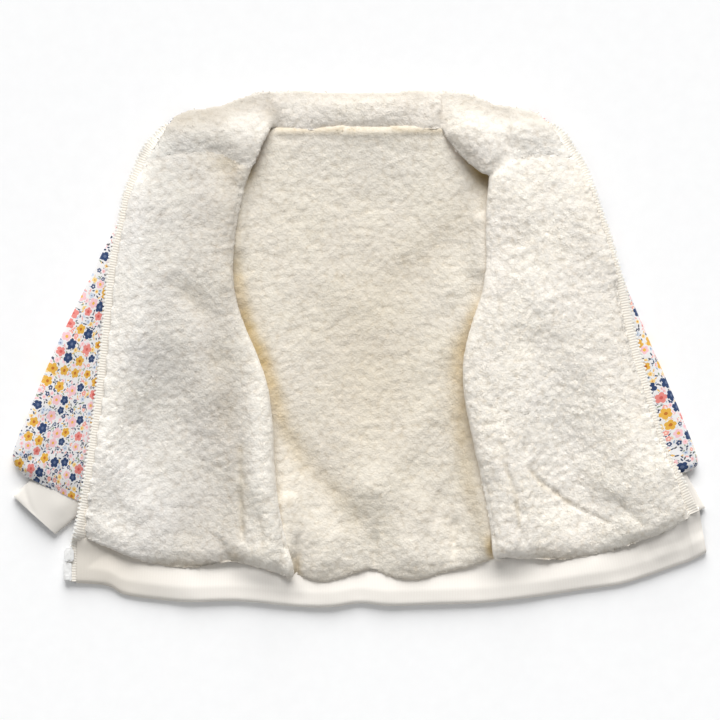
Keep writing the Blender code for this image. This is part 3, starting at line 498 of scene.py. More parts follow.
# ---------------------------------------------------------------- printed shell
# The outer cloth: a thin polyester fleece with a small all-over flower print on white. The body
# shell lies under the lining, face down, so only its edges and the underside show it.
def flowers(add, place, apart, petals, size, spread, chance, colours, hearts):
    """One layer of round-petalled flowers, so many mm apart: its colour and where it covers."""
    cells = add("TexVoronoi", {"Vector": place, "Scale": 1 / apart, "Randomness": spread},
        voronoi_dimensions="2D", feature="F1")
    lot = add("SeparateColor", {"Color": cells.outputs["Color"]})
    own = add("VectorMath", (place, cells.outputs["Position"]), operation="SUBTRACT")
    part = add("SeparateXYZ", {"Vector": own})
    out = add("VectorMath", (own,), operation="LENGTH").outputs["Value"]
    turn = add("Math", (part.outputs["Y"], part.outputs["X"]), operation="ARCTAN2")
    turn = add("Math", (lot.outputs["Blue"], math.tau, turn), operation="MULTIPLY_ADD")
    turn = add("Math", (turn, petals / 2), operation="MULTIPLY")
    lobe = add("Math", (turn,), operation="COSINE")
    lobe = add("Math", (lobe,), operation="ABSOLUTE")
    lobe = add("Math", (lobe, 0.55), operation="POWER")
    lobe = add("Math", (lobe, 0.36 * size, 0.64 * size), operation="MULTIPLY_ADD")
    large = add("Math", (lot.outputs["Green"], 0.35, 0.82), operation="MULTIPLY_ADD")
    rim = add("Math", (lobe, large), operation="MULTIPLY")
    inside = add("Math", (out, rim), operation="LESS_THAN")
    drawn = add("Math", (lot.outputs["Red"], chance), operation="LESS_THAN")
    cover = add("Math", (inside, drawn), operation="MULTIPLY")
    pick = add("Math", (lot.outputs["Red"], 1 / chance), operation="MULTIPLY")
    petal = add("ValToRGB", {"Fac": pick})
    stops(petal, colours, "CONSTANT")
    heart = add("ValToRGB", {"Fac": pick})
    stops(heart, hearts, "CONSTANT")
    middle = add("Math", (out, 0.31 * size), operation="LESS_THAN")
    both = add("Mix", {"Factor": middle, "A": petal, "B": heart}, data_type="RGBA")
    near = add("Math", (out, size * 1.12), operation="LESS_THAN")
    near = add("Math", (near, drawn), operation="MULTIPLY")
    return both, cover, near


def printed_fleece(name):
    """Brushed fleece with a flat rotary print: a soft matt face with crisp small flowers."""
    made, add = new_material(name)
    place = add("UVMap", uv_map="cloth")
    wander = add("TexNoise", {"Vector": place, "Scale": 0.9, "Detail": 2.0})
    wander = add("VectorMath", (wander.outputs["Color"], (0.9, 0.9, 0.0)), operation="MULTIPLY")
    hand = add("VectorMath", (place, wander))
    shift = add("VectorMath", (hand, (5.3, 7.9, 0.0)))
    main, main_on, main_near = flowers(add, hand, 11.8, 5, 4.1, 0.62, 0.9, (
        (0.0, "#2f4369"), (0.38, "#e0ad48"), (0.62, "#e48a82"), (0.82, "#eebfc4")), (
        (0.0, "#5c6a88"), (0.38, "#bd702e"), (0.62, "#cf5f58"), (0.82, "#e3b04f")))
    small, small_on, small_near = flowers(add, shift, 5.8, 5, 2.0, 0.9, 0.8, (
        (0.0, "#f4c9cd"), (0.30, "#f0d089"), (0.52, "#3b4c70"), (0.70, "#ee9f94"), (0.86, "#c6cfdd")), (
        (0.0, "#e5a79f"), (0.30, "#d68a3a"), (0.52, "#d9d6da"), (0.70, "#f5e0c8"), (0.86, "#7c8aa6")))
    # Leaves and seed dots 1 to 2 mm across fill the ground between the flowers.
    seeds = add("TexVoronoi", {"Vector": hand, "Scale": 1 / 2.6, "Randomness": 1.0},
        voronoi_dimensions="2D", feature="F1")
    seed_lot = add("SeparateColor", {"Color": seeds.outputs["Color"]})
    seed_off = add("VectorMath", (hand, seeds.outputs["Position"]), operation="SUBTRACT")
    spin = add("Math", (seed_lot.outputs["Green"], math.tau), operation="MULTIPLY")
    spun = add("VectorRotate", {"Vector": seed_off, "Axis": (0, 0, 1), "Angle": spin},
        rotation_type="AXIS_ANGLE")
    slim = add("VectorMath", (spun, (0.5, 1.3, 1.0)), operation="MULTIPLY")
    seed_r = add("VectorMath", (slim,), operation="LENGTH").outputs["Value"]
    seed_in = add("Math", (seed_r, 0.74), operation="LESS_THAN")
    seed_some = add("Math", (seed_lot.outputs["Red"], 0.85), operation="LESS_THAN")
    seed_on = add("Math", (seed_in, seed_some), operation="MULTIPLY")
    seed_tone = add("ValToRGB", {"Fac": seed_lot.outputs["Blue"]})
    stops(seed_tone, ((0.0, "#36415c"), (0.40, "#8b9a7c"), (0.50, "#5f5e60"), (0.64, "#e6b966"),
                      (0.78, "#e9a9a4"), (0.92, "#9fb0c4")), "CONSTANT")
    ground = add("TexNoise", {"Vector": place, "Scale": 0.05})
    ground = add("Mix", {"Factor": ground, "A": linear("#e3e2e3"), "B": linear("#e9e6e3")},
        data_type="RGBA")
    clear = add("Math", (1.0, main_near), operation="SUBTRACT")
    bare = add("Math", (1.0, small_near), operation="SUBTRACT")
    bare = add("Math", (clear, bare), operation="MULTIPLY")
    seed_on = add("Math", (seed_on, bare), operation="MULTIPLY")
    small_on = add("Math", (small_on, clear), operation="MULTIPLY")
    for colour, cover in ((seed_tone, seed_on), (small, small_on), (main, main_on)):
        ground = add("Mix", {"Factor": cover, "A": ground, "B": colour}, data_type="RGBA")
    # The knit's loops, 0.9 mm apart, and the brushed nap over them.
    loops = add("TexVoronoi", {"Vector": place, "Scale": 1 / 0.9, "Randomness": 0.35},
        voronoi_dimensions="2D", feature="F1")
    nap = add("TexNoise", {"Vector": place, "Scale": 1.7, "Detail": 3.0})
    both = add("Math", (loops, nap), operation="ADD")
    bump = add("Bump", {"Height": both, "Strength": 0.35, "Distance": 0.0004})
    cloth = add("BsdfPrincipled", {"Base Color": ground, "Roughness": 0.88, "Specular IOR Level": 0.25,
        "Sheen Weight": 0.12, "Sheen Roughness": 0.5, "Normal": bump})
    add("OutputMaterial", {"Surface": cloth})
    return made


def set_cloth_map(mesh, across, along):
    """A map of the cloth in millimetres, from one value of each for every point."""
    layer = mesh.uv_layers.new(name="cloth")
    corners = read(mesh.loops, "vertex_index", 1, np.int32)[:, 0]
    places = np.column_stack([across[corners], along[corners]])
    layer.data.foreach_set("uv", places.astype(np.float32).ravel())


floral = printed_fleece("printed fleece")
SHELL_CUTS = {  # piece: width, length, area and what it lies on
    "back_shell": (0.31, 0.36, 0.090, []), "front_shell_left": (0.21, 0.35, 0.049, ["sleeve_left"]),
    "front_shell_right": (0.21, 0.35, 0.049, ["sleeve_right"]), "collar_shell": (0.42, 0.07, 0.0165, []),
}
for cad_name, (wide, long, area, rests) in SHELL_CUTS.items():
    shell = softened(cad_name, cad_name + "_cloth")
    mesh = finished_mesh(shell)
    where = points_of(mesh) * 1000
    # The collar's shell is drawn down with the neck seam, and turned in a little under the pile.
    drawn = relief(((-60, 177, 60, 177, 13, -4.0),), where)
    where[:, 2] += drawn * np.clip(where[:, 2] / 8, 0, 1)
    where[:, 1] -= 2.2 * np.exp(-(((where[:, 1] - 208) / 6) ** 2))
    if cad_name.startswith("front"):
        hang = relief(FRONT_DROOPS, where)
        where[:, 2] -= hang * np.clip((where[:, 2] - 9) / 4, 0, 1)
    move_points(mesh, where / 1000)
    set_cloth_map(mesh, where[:, 0] + 3 * where[:, 2], where[:, 1])
    smooth_shaded(mesh)
    mesh.materials.clear()
    mesh.materials.append(floral)
    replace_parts(shell, cad_name)
    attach(shell, "root")


# ---------------------------------------------------------------- sleeves
# Two tubes of the printed fleece, seamed under the arm, that lie flattened below the fronts. The
# fleece holds a rounded edge, is eased into the cuff seam with small gathers, and wrinkles softly.
LEFT_SLEEVE = (  # distance out and level of the two edges, then height, mm
    (140, 168, 153, 44, 12), (168, 140, 162, 24, 12), (197, 92, 172, 2, 13), (219, 48, 182, -22, 14),
    (243, -1, 193, -48, 14), (260, -42, 203, -74, 14), (276, -84, 214, -103, 13),
    (266, -101, 217, -123.6, 9),
)
RIGHT_SLEEVE = (
    (140.6, 168, 153, 44, 12), (170, 138, 160, 24, 12), (191, 104, 168, 2, 12),
    (214.5, 49, 178, -22, 12), (235, 1, 190, -48, 12), (255, -45, 202, -72, 12),
    (270.4, -86, 213, -99, 12), (267, -95.5, 221, -111, 9),
)
GATHERS_APART = 4.6  # mm
SLEEVE_WRINKLES = (  # x0, y0, x1, y1, half width, height
    (-268, -92, -246, -78, 4.0, -0.9), (-240, -104, -232, -86, 3.4, -0.8),
    (-256, -60, -236, -52, 6, -0.7), (-250, -20, -226, -24, 7, -0.6),
    (-226, -112, -222, -96, 3.2, -0.7), (-236, 10, -222, -4, 7, 0.6), (266, -88, 250, -74, 4.0, -0.8),
    (244, -98, 238, -82, 3.4, -0.8), (248, -40, 236, -48, 6, -0.6), (232, 0, 226, -12, 6, 0.5),
)


def through(rows, at, column=1):
    """A smooth curve through a table's rows, read at each value of its first column."""
    table = np.array(rows, float)
    keys, values = table[:, 0], table[:, column]
    slope = np.gradient(values, keys)
    at = np.clip(at, keys[0], keys[-1])
    i = np.clip(np.searchsorted(keys, at) - 1, 0, len(keys) - 2)
    wide = keys[i + 1] - keys[i]
    t = (at - keys[i]) / wide
    return ((2 * t**3 - 3 * t**2 + 1) * values[i] + (t**3 - 2 * t**2 + t) * wide * slope[i]
            + (3 * t**2 - 2 * t**3) * values[i + 1] + (t**3 - t**2) * wide * slope[i + 1])


def resampled(rows, count):
    """A table's rows at even steps from its first to its last row."""
    table = np.array(rows, float)
    keyed = np.column_stack([np.arange(len(table)), table])
    steps = np.linspace(0, len(table) - 1, count)
    return np.column_stack([through(keyed, steps, c + 1) for c in range(table.shape[1])])


def cloth_grid(name, points, across, along, finish, closed=True):
    """A cloth of rows of points in mm, joined round where closed, with its map in mm."""
    rows, cols = points.shape[:2]
    mesh = bpy.data.meshes.new(name)
    faces = []
    for start in range(0, (rows - 1) * cols, cols):
        for c in range(cols if closed else cols - 1):
            after = (c + 1) % cols
            faces.append((start + c, start + after, start + cols + after, start + cols + c))
    mesh.from_pydata((points.reshape(-1, 3) / 1000).tolist(), [], faces)
    shape = bmesh.new()
    shape.from_mesh(mesh)
    bmesh.ops.recalc_face_normals(shape, faces=shape.faces)
    shape.to_mesh(mesh)
    shape.free()
    across, along = np.broadcast_to(across, (rows, cols)), np.broadcast_to(along, (rows, cols))
    set_cloth_map(mesh, across.ravel(), along.ravel())
    smooth_shaded(mesh)
    mesh.materials.append(finish)
    piece = placed(name, mesh)
    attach(piece, "root")
    return piece


def flattened_tube(rows, side, count, around):
    """Rings of a tube that lies on its side: points, distance round and distance along, in mm."""
    stations = resampled(rows, count)
    turn = np.linspace(0, math.tau, around, endpoint=False)
    # A lying tube: flat underneath, full and rounded at its two edges, and a little crowned.
    flat = np.sign(np.cos(turn)) * np.abs(np.cos(turn)) ** 0.72
    rise = np.where(np.sin(turn) > 0, 0.42 + 0.58 * np.abs(np.sin(turn)) ** 0.8,
                    0.42 - 0.42 * np.minimum(1, np.abs(np.sin(turn)) * 2.2))
    points = np.zeros((count, around, 3))
    for i, (out_a, y_a, out_b, y_b, high) in enumerate(stations):
        a, b = np.array([side * out_a, y_a]), np.array([side * out_b, y_b])
        points[i, :, :2] = (a + b) / 2 + (b - a) / 2 * flat[:, None]
        points[i, :, 2] = high * rise
    # The cloth map: straight across and along the tube, and on round its edges.
    way = points[-1, :, :2].mean(axis=0) - points[count // 3, :, :2].mean(axis=0)
    way /= np.hypot(*way)
    along = points[..., 0] * way[0] + points[..., 1] * way[1]
    across = points[..., 1] * way[0] - points[..., 0] * way[1]
    across = across + 0.8 * points[..., 2] * flat[None, :]
    return points, across, along - along.min()


for word, side, rows, shift in (("left", -1, LEFT_SLEEVE, 0.0), ("right", 1, RIGHT_SLEEVE, 61.0)):
    points, across, along = flattened_tube(rows, side, 170, 110)
    end = along.max() - along
    wave = np.sin(across / GATHERS_APART * math.tau + 1.2 * np.sin(across / 9.0))
    gathers = 0.75 * np.exp(-end / 9.0) * wave
    upper = np.clip((points[..., 2] - 5) / 5, 0, 1)
    points[..., 2] += upper * (relief(SLEEVE_WRINKLES, points) + gathers)
    sleeve = cloth_grid(f"sleeve_{word}_cloth", points, across + shift, along, floral)
    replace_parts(sleeve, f"sleeve_{word}")


# ---------------------------------------------------------------- rib cuffs and hem band
# Cotton rib knit with 2.2 mm ribs that run down the sleeve and down the body, folded double. The
# fold makes a soft rounded edge, and the seam pulls the knit in a little where it is joined.
LEFT_CUFF = ((262, -103.8, 217, -126.2, 8), (276, -116.5, 242, -147.2, 7.4))
RIGHT_CUFF = ((262.6, -100.2, 223, -112.6, 8), (277.4, -126, 234, -142, 7.4))
CUFF_DENTS = (
    (-269, -100, -265, -117, 2.2, -0.8), (-265, -117, -260, -130, 2.0, -0.6),
    (-244, -114, -236, -134, 9, 1.0), (-226, -124, -238, -142, 7, -0.8),
    (262, -108, 268, -130, 5, -0.9), (248, -110, 252, -132, 6, 0.7),
)
KNIT, FOLD_THICK, BAND_HIGH = 3.0, 6.2, 38.0  # mm: doubled knit, the same where the fold is full
RIBS_APART, ROWS_APART, PULLS_APART, FOLD_ROUND = 2.2, 1.5, 5.5, 3.0  # mm
HEM_BAND = (  # low_x, low_y, up_x, up_y
    (-225.4, -186.2, -224.4, -147.5), (-201, -188.5, -200, -150.5), (-187, -195.5, -186, -157.5),
    (-161, -199.5, -160, -161.5), (-135, -201.6, -134, -163.6), (-95, -201, -95, -163),
    (-47, -205.4, -47, -167.4), (-22, -205.6, -22, -167.6), (1, -202.6, 1, -164.6),
    (25, -204.6, 25, -166.6), (61, -203.6, 60, -165.6), (97, -202.4, 96, -164.4),
    (125, -199.5, 123, -161.5), (153, -196, 150, -158), (181, -191.5, 176, -153.6),
    (209, -187.4, 203, -149.4), (231, -180.8, 222, -143.5), (253, -173, 243, -137),
    (266, -168.6, 257, -131), (278, -162.0, 271.5, -125.5),
)
BAND_RELIEF = (
    (-224, -190, -140, -206, 10, -1.3), (140, -202, 270, -166, 10, -1.3),
    (-196, -160, -180, -184, 10, -1.2), (-214, -172, -140, -184, 12, 0.8),
    (135, -187, 262, -147, 12, 0.8), (-224, -150, -206, -184, 9, -0.6),
    (-226, -149, -208, -152, 9, 3.0), (-47, -206, -49, -168, 6, -0.7), (1, -203, 1, -166, 6, -0.8),
    (61, -203, 64, -168, 9, 0.5), (97, -202, 92, -166, 6, -0.5), (-95, -201, -95, -165, 8, -0.6),
    (-135, -202, -138, -170, 8, 0.5), (153, -196, 150, -160, 7, -0.5), (209, -186, 203, -150, 7, -0.6),
    (-187, -195, -180, -160, 7, -0.6), (231, -180, 222, -146, 6, 0.5), (252, -146, 236, -168, 7, 1.2),
    (263, -140, 259, -162, 6, -0.8), (-88, -166, -56, -172, 13, 5.0), (104, -160, 136, -162, 12, 5.0),
    (-92, -174, -50, -186, 8, 3.0), (104, -171, 130, -171, 8, 2.6), (270, -126, 248, -139, 9, 3.0),
    (25, -204, 22, -168, 7, 0.5), (-22, -205, -24, -170, 7, 0.5),
)


def rib_knit(name, face, groove_shade, end):
    """Cotton rib: matt, with a fine ladder of upright ribs whose grooves are painted a little darker, as
    painted shade. It fades in from the darker colour of its left end, between 25 and 95 mm along: painted
    shade on the band, where the pile and the zip's foot shade it."""
    made, add = new_material(name)
    place = add("UVMap", uv_map="cloth")
    part = add("SeparateXYZ", {"Vector": place})
    slip = add("TexNoise", {"Vector": place, "Scale": 0.12, "Detail": 2.0})
    across = add("Math", (slip, 1.4, part.outputs["X"]), operation="MULTIPLY_ADD")
    wave = add("Math", (across, math.tau / RIBS_APART), operation="MULTIPLY")
    wave = add("Math", (wave,), operation="SINE")
    rib = add("Math", (wave, 0.5, 0.5), operation="MULTIPLY_ADD")
    stitch = add("Math", (part.outputs["Y"], math.tau / ROWS_APART), operation="MULTIPLY")
    stitch = add("Math", (stitch,), operation="SINE")
    stitch = add("Math", (stitch, 0.12, rib), operation="MULTIPLY_ADD")
    # Painted shade: the colour darkens from the rib's face into the groove between ribs.
    tone = add("ValToRGB", {"Fac": rib})
    stops(tone, ((0.0, groove_shade), (0.7, face)))
    # Painted shade: a darker colour at the left end, which on the band stands for the shade there.
    inward = add("MapRange", {"Value": part.outputs["X"], "From Min": 25.0, "From Max": 95.0})
    tone = add("Mix", {"Factor": inward, "A": linear(end), "B": tone}, data_type="RGBA")
    # Cotton lint softens the ladder of ribs.
    lint = add("TexNoise", {"Vector": place, "Scale": 1.1, "Detail": 4.0})
    height = add("Math", (lint, 0.35, stitch), operation="MULTIPLY_ADD")
    bump = add("Bump", {"Height": height, "Strength": 0.06, "Distance": 0.00025})
    cloth = add("BsdfPrincipled", {"Base Color": tone, "Roughness": 0.92, "Specular IOR Level": 0.2,
        "Sheen Weight": 0.15, "Sheen Roughness": 0.5, "Normal": bump})
    add("OutputMaterial", {"Surface": cloth})
    return made


rib_cuff = rib_knit("cotton rib, cuffs", "#ebe6de", "#e9e3db", "#eae5dd")
rib_band = rib_knit("cotton rib, band", "#f2ede5", "#f1ebe3", "#e0d9ce")
for word, side, rows in (("left", -1, LEFT_CUFF), ("right", 1, RIGHT_CUFF)):
    seam, fold = np.array(rows[0]), np.array(rows[1])
    points, across, along = flattened_tube((seam - 0.14 * (fold - seam), seam, fold), side, 60, 96)
    end = along.max() - along
    # The folded end is rounded over its last few mm, and soft dents run in from the seam.
    closing = np.sqrt(np.clip(1 - np.clip((FOLD_ROUND - end) / FOLD_ROUND, 0, 1) ** 2, 0.02, 1))
    middle = 0.45 * points[..., 2].max()
    points[..., 2] = middle + (points[..., 2] - middle) * (0.35 + 0.65 * closing)
    lift = np.clip((points[..., 2] - 3) / 3, 0, 1)
    pulled = 0.35 * np.exp(-along / 5.0) * np.sin(across / PULLS_APART * math.tau)
    points[..., 2] += lift * (pulled + relief(CUFF_DENTS, points))
    cuff = cloth_grid(f"cuff_{word}_rib", points, across, along, rib_cuff)
    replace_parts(cuff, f"cuff_{word}")

along_hem = resampled(HEM_BAND, 520)
low, up = along_hem[:, :2], along_hem[:, 2:]
# The band's section: folded edge below, seam edge above, and the flat underside.
section = np.array([
    (0.0, 0.25), (0.006, 0.55), (0.022, 0.82), (0.05, 0.96),
    *((share, 1.0) for share in np.linspace(0.09, 0.93, 19)), (0.97, 0.96), (0.995, 0.75),
    (1.0, 0.4), (0.995, 0.05), (0.8, 0.0), (0.5, 0.0), (0.2, 0.0), (0.01, 0.0)])
cad_band = surface_of("hem_band")


def height_on(tree, x, y, miss):
    """Top of a CAD piece over a place in mm, or of its nearest point beside it."""
    hit = tree.ray_cast(Vector((x / 1000, y / 1000, 0.1)), Vector((0, 0, -1)))
    if hit[0] is None:
        hit = tree.find_nearest(Vector((x / 1000, y / 1000, miss / 1000)))
    return hit[0].z * 1000


def evened(series, reach):
    """Each value's mean with as many as the reach on each side of it."""
    count = 2 * reach + 1
    return np.convolve(np.pad(series, reach, mode="edge"), np.ones(count) / count, "valid")


plan = low[:, None] + (up - low)[:, None] * section[None, :, :1]
low_top, top, up_top = (
    evened(np.array([height_on(cad_band, *(a + (b - a) * at), 3) for a, b in zip(low, up)]), 8)
    for at in (0.12, 0.5, 0.88))
share, rise = section[:, 0][None, :], section[:, 1][None, :]
# At its left end the band comes out from under the pile and covers the foot of the tape.
beside = np.clip((-200 - low[:, :1]) / 18, 0, 1)
crest = np.where(share < 0.5, low_top[:, None] + (top - low_top)[:, None] * share / 0.5,
                 top[:, None] + (up_top - top)[:, None] * (share - 0.5) / 0.5)
full = np.maximum(np.clip((0.72 - share) / 0.4, 0, 1), beside)
level = crest - KNIT + (KNIT + (FOLD_THICK - KNIT) * full) * rise
level += np.where(rise > 0.6, relief(BAND_RELIEF, plan), 0)
points = np.dstack([plan[..., 0], plan[..., 1], np.maximum(level, 0.02)])
steps = np.concatenate([[0], np.cumsum(np.hypot(*np.diff((low + up) / 2, axis=0).T))])
band = cloth_grid("hem_band_rib", points, steps[:, None], BAND_HIGH * share, rib_band)
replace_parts(band, "hem_band")


# ---------------------------------------------------------------- zip
# A moulded-tooth zip, opened right up, so each half lies along its own front. White woven tape,
# 17 mm wide and sewn in under the pile, carries plastic teeth 4.4 by 2.6 mm at 3.2 mm pitch.
ZIP_EDGE = (  # y, left, right
    (-186, 233.0, 278.0), (-160, 231.4, 278.0), (-140, 226.8, 277.0), (-128, 224.2, 272.4),
    (-113, 221.7, 265.2), (-98, 219.4, 257.6), (-84, 217.4, 249.2), (-64, 214.2, 242.4),
    (-40, 211.2, 236.2), (-5, 207.4, 226.7), (20, 205.0, 220.4), (46, 202.6, 215.4), (68, 200.4, 208.4),
    (87, 196.4, 203.6), (106, 191.8, 197.2), (125, 188.3, 190.8), (145, 180.4, 183.6),
    (164, 171.6, 172.4), (174, 162.8, 165.6), (183, 154.0, 154.0),
)
TOOTH_PITCH = 3.2  # mm
TAPE_THICK = 0.0007  # m


def woven_tape(name):
    """Woven polyester tape: fine cross ribs and a faint satin, warmer than the teeth."""
    made, add = new_material(name)
    place = add("UVMap", uv_map="cloth")
    part = add("SeparateXYZ", {"Vector": place})
    weft = add("Math", (part.outputs["Y"], math.tau / 2.1), operation="MULTIPLY")
    weft = add("Math", (weft,), operation="SINE")
    warp = add("Math", (part.outputs["X"], math.tau / 1.1), operation="MULTIPLY")
    warp = add("Math", (warp,), operation="SINE")
    woven = add("Math", (warp, 0.4, weft), operation="MULTIPLY_ADD")
    # Painted shade: the tape's colour is darker where the weave lies low.
    shade = add("Math", (woven, 0.35, 0.5), operation="MULTIPLY_ADD")
    tone = add("ValToRGB", {"Fac": shade})
    stops(tone, ((0.1, "#e9e1d5"), (0.8, "#f5f0e6")))
    bump = add("Bump", {"Height": woven, "Strength": 0.35, "Distance": 0.0003})
    cloth = add("BsdfPrincipled", {"Base Color": tone, "Roughness": 0.75, "Specular IOR Level": 0.35,
        "Sheen Weight": 0.1, "Normal": bump})
    add("OutputMaterial", {"Surface": cloth})
    return made


def moulded_acetal(name, colour):
    """Injection-moulded acetal: a smooth, faintly waxy white with soft broad highlights."""
    made, add = new_material(name)
    place = add("TexCoord").outputs["Object"]
    flow = add("TexNoise", {"Vector": place, "Scale": 300.0, "Detail": 2.0})
    tone = add("ValToRGB", {"Fac": flow})
    stops(tone, ((0.3, colour), (0.75, "#fbfbf9")))
    bump = add("Bump", {"Height": flow, "Strength": 0.1, "Distance": 0.0001})
    body = add("BsdfPrincipled", {"Base Color": tone, "Roughness": 0.38, "IOR": 1.48,
        "Subsurface Weight": 0.15, "Subsurface Radius": (0.6, 0.6, 0.6), "Subsurface Scale": 0.001,
        "Normal": bump})
    add("OutputMaterial", {"Surface": body})
    return made


tape_weave = woven_tape("woven zip tape")
tooth_plastic = moulded_acetal("moulded zip teeth", "#f0ebdf")


TOOTH_SIDE = ((-2.2, 1.1), (-1.0, 1.3), (0.8, 1.26), (1.0, 0.76), (1.3, 0.9), (1.8, 0.76))  # mm
TOOTH = ((-2.3, 0.0), *TOOTH_SIDE, (2.1, 0.0), *((a, -b) for a, b in reversed(TOOTH_SIDE)))


def tooth(shape, centre, out, along, up):
    """One moulded tooth: a chamfered block with a rounded head that stands out from the tape."""
    rings = []
    for height, inset in ((-1.25, 0.88), (-0.7, 1.0), (0.85, 1.0), (1.15, 0.93)):
        ring = []
        for a, b in TOOTH:
            # Its root sits lower than its head, in the tape.
            level = height - (0.6 if a < 0.9 else 0.0)
            place = centre + out * ((a + 1) * inset - 1) + along * (b * inset) + up * level
            ring.append(shape.verts.new(place / 1000))
        rings.append(ring)
    count = len(TOOTH)
    for lower, upper in zip(rings, rings[1:]):
        for i in range(count):
            shape.faces.new((lower[i], lower[(i + 1) % count], upper[(i + 1) % count], upper[i]))
    shape.faces.new(rings[-1])
    shape.faces.new(rings[0][::-1])


for word, side, column, last in (("left", -1, 1, -185.0), ("right", 1, 2, -128.0)):
    cad_tape = surface_of(f"zip_tape_{word}")
    levels = np.linspace(last, 182.6, 900)
    edge = np.column_stack([side * through(ZIP_EDGE, levels, column), levels])
    gone = np.concatenate([[0], np.cumsum(np.hypot(*np.diff(edge, axis=0).T))])
    # Even steps along the edge, with the way in across the tape at each.
    even = np.linspace(0, gone[-1], 420)
    line = np.column_stack([np.interp(even, gone, edge[:, 0]), np.interp(even, gone, edge[:, 1])])
    ahead = np.gradient(line, axis=0)
    ahead /= np.hypot(*ahead.T)[:, None]
    inward = np.column_stack([ahead[:, 1], -ahead[:, 0]]) * (1 if side < 0 else -1)
    insets = np.array([1.2, 2.2, 3.4, 4.8, 6.4, 8.0, 9.6, 11.5, 14.0, 16.4])
    plan = line[:, None] + inward[:, None] * insets[None, :, None]
    height = np.array([[height_on(cad_tape, x, y, 14) for x, y in row] for row in plan])
    height[:, :3] = height[:, 3:4]
    for c in range(height.shape[1]):
        height[:, c] = evened(height[:, c], 6)
    # The foot of the tape is sewn in under the band's end.
    foot = np.clip((-149 - plan[..., 1]) / 8 if side < 0 else (-123 - plan[..., 1]) / 5, 0, 1)
    height = height + (np.minimum(height, 4.6 if side < 0 else 12.4) - height) * foot
    points = np.dstack([plan[..., 0], plan[..., 1], height])
    tape = cloth_grid(f"zip_tape_{word}_weave", points, insets[None, :], even[:, None], tape_weave,
                      closed=False)
    thick = tape.modifiers.new("thick", "SOLIDIFY")
    thick.thickness = TAPE_THICK
    thick.offset = -1 if tape.data.polygons[0].normal.z > 0 else 1
    finished_mesh(tape)
    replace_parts(tape, f"zip_tape_{word}")

    shape = bmesh.new()
    for at in np.arange(9.0 if side < 0 else 23.0, gone[-1] - 2.0, TOOTH_PITCH):
        spot = [np.interp(at, even, line[:, 0]), np.interp(at, even, line[:, 1])]
        way = [np.interp(at, even, inward[:, 0]), np.interp(at, even, inward[:, 1])]
        out, up = Vector((-way[0], -way[1], 0)).normalized(), Vector((0, 0, 1))
        level = np.interp(at, even, height[:, 3]) - 0.8
        tooth(shape, Vector((*spot, level)) - out * 2.1, out, up.cross(out), up)
    mesh = mesh_of(shape, f"zip_teeth_{word}")
    mesh.materials.append(tooth_plastic)
    teeth = placed(f"zip_teeth_{word}", mesh)
    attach(teeth, "root")


# ---------------------------------------------------------------- slider and retainer box
# Two small injection mouldings at the foot of the left half: the slider, two plates on a post,
# run down to its stop, and below it the square retainer box that the other half's pin enters.
slider_plastic = moulded_acetal("moulded zip slider", "#dfdedc")


def moulded_block(name, outline, z0, z1, round_by):
    """An outline in mm raised from z0 to z1, with its edges rounded as a mould leaves them."""
    shape = bmesh.new()
    face = shape.faces.new([shape.verts.new((x / 1000, y / 1000, z0 / 1000)) for x, y in outline])
    raised = bmesh.ops.extrude_face_region(shape, geom=[face])["geom"]
    lifted = [part for part in raised if isinstance(part, bmesh.types.BMVert)]
    bmesh.ops.translate(shape, vec=(0, 0, (z1 - z0) / 1000), verts=lifted)
    bmesh.ops.recalc_face_normals(shape, faces=shape.faces)
    bmesh.ops.bevel(
        shape, geom=shape.edges, offset=round_by / 1000, segments=3, profile=0.6, affect="EDGES")
    mesh = mesh_of(shape, name)
    smooth_shaded(mesh)
    mesh.materials.append(slider_plastic)
    piece = placed(name, mesh)
    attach(piece, "root")
    return piece


def oblong(x0, y0, x1, y1):
    """The corners of a rectangle, in turn."""
    return [(x0, y0), (x1, y0), (x1, y1), (x0, y1)]


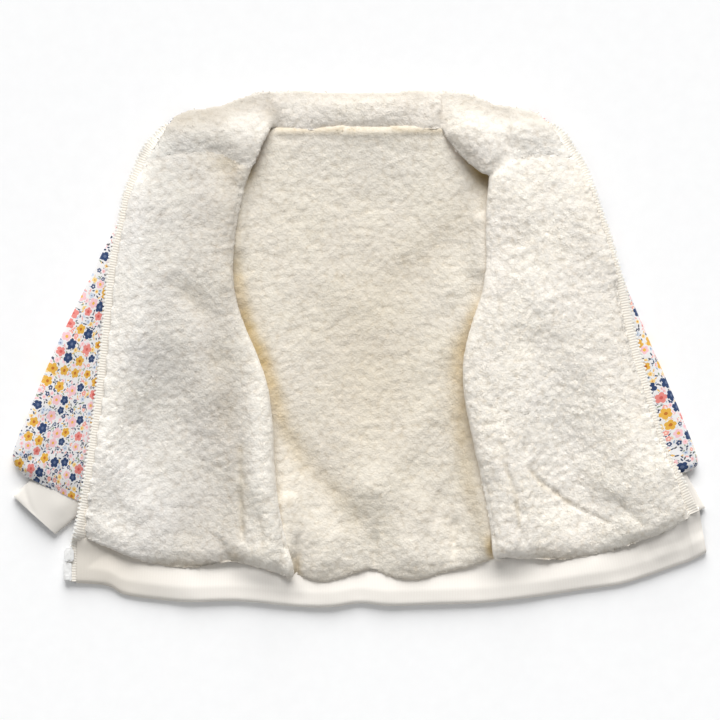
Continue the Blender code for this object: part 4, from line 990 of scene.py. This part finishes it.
body = [(-233.8, -169.0), (-228.2, -169.0), (-227.2, -167.0), (-227.2, -160.6), (-229.0, -157.4),
        (-233.0, -157.4), (-234.8, -160.6), (-234.8, -167.0)]
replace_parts(moulded_block("slider_top", body, 5.4, 6.6, 0.4), "zip_slider")
moulded_block("slider_foot", body, 0.5, 1.7, 0.35)
moulded_block("slider_post", oblong(-232.2, -161.8, -229.8, -157.6), 1.2, 6.0, 0.3)
moulded_block("slider_rib", oblong(-231.8, -167.6, -230.2, -159.4), 6.3, 7.4, 0.3)
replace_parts(moulded_block("retainer_box", [
    (-235.4, -183.8), (-234.4, -184.8), (-230.0, -184.8), (-229.0, -183.8), (-229.0, -170.6),
    (-229.8, -169.8), (-234.6, -169.8), (-235.4, -170.6)], 0.4, 5.6, 0.45), "zip_box")
moulded_block("retainer_mark", oblong(-234.2, -183.6, -230.4, -179.8), 5.4, 6.2, 0.25)


# ---------------------------------------------------------------- floor, light and camera
# A white studio sweep, a broad soft light above the collar end and a weaker one opposite. The
# camera looks straight down from 3 m through a long lens, so that nothing seems to lean.
shape = bmesh.new()
bmesh.ops.create_grid(shape, x_segments=1, y_segments=1, size=3.0)
mesh = mesh_of(shape, "floor")
paper, add = new_material("white paper")
place = add("TexCoord").outputs["Object"]
grain = add("TexNoise", {"Vector": place, "Scale": 90.0})
tone = add("ValToRGB", {"Fac": grain})
stops(tone, ((0.3, "#fcfcfc"), (0.7, "#fefefe")))
skin = add("BsdfPrincipled", {"Base Color": tone, "Roughness": 0.9, "Specular IOR Level": 0.1})
add("OutputMaterial", {"Surface": skin})
mesh.materials.append(paper)
floor = placed("floor", mesh)

LIGHTS = (  # name, way it comes from and height in degrees, softness in degrees, power
    ("key light", 0, 30, 48, 3.98), ("fill light", 165, 62, 60, 0.22),
)
for name, turned, high, softness, power in LIGHTS:
    lamp = bpy.data.lights.new(name, "SUN")
    lamp.energy, lamp.angle = power, math.radians(softness)
    placed(name, lamp).rotation_euler = (math.radians(high - 90), 0, math.radians(turned))

sky = bpy.data.worlds.new("studio")
sky.use_nodes = True
glow = sky.node_tree.nodes["Background"].inputs
glow["Color"].default_value, glow["Strength"].default_value = (0.98, 0.99, 1.0, 1), 0.305
bpy.context.scene.world = sky
bpy.context.scene.view_settings.view_transform = "Standard"

lens = bpy.data.cameras.new("camera")
lens.lens, lens.sensor_width = 187.5, 36.0
bpy.context.scene.camera = camera = placed("camera", lens)
camera.location = (0.0012, -0.008, 3.0)
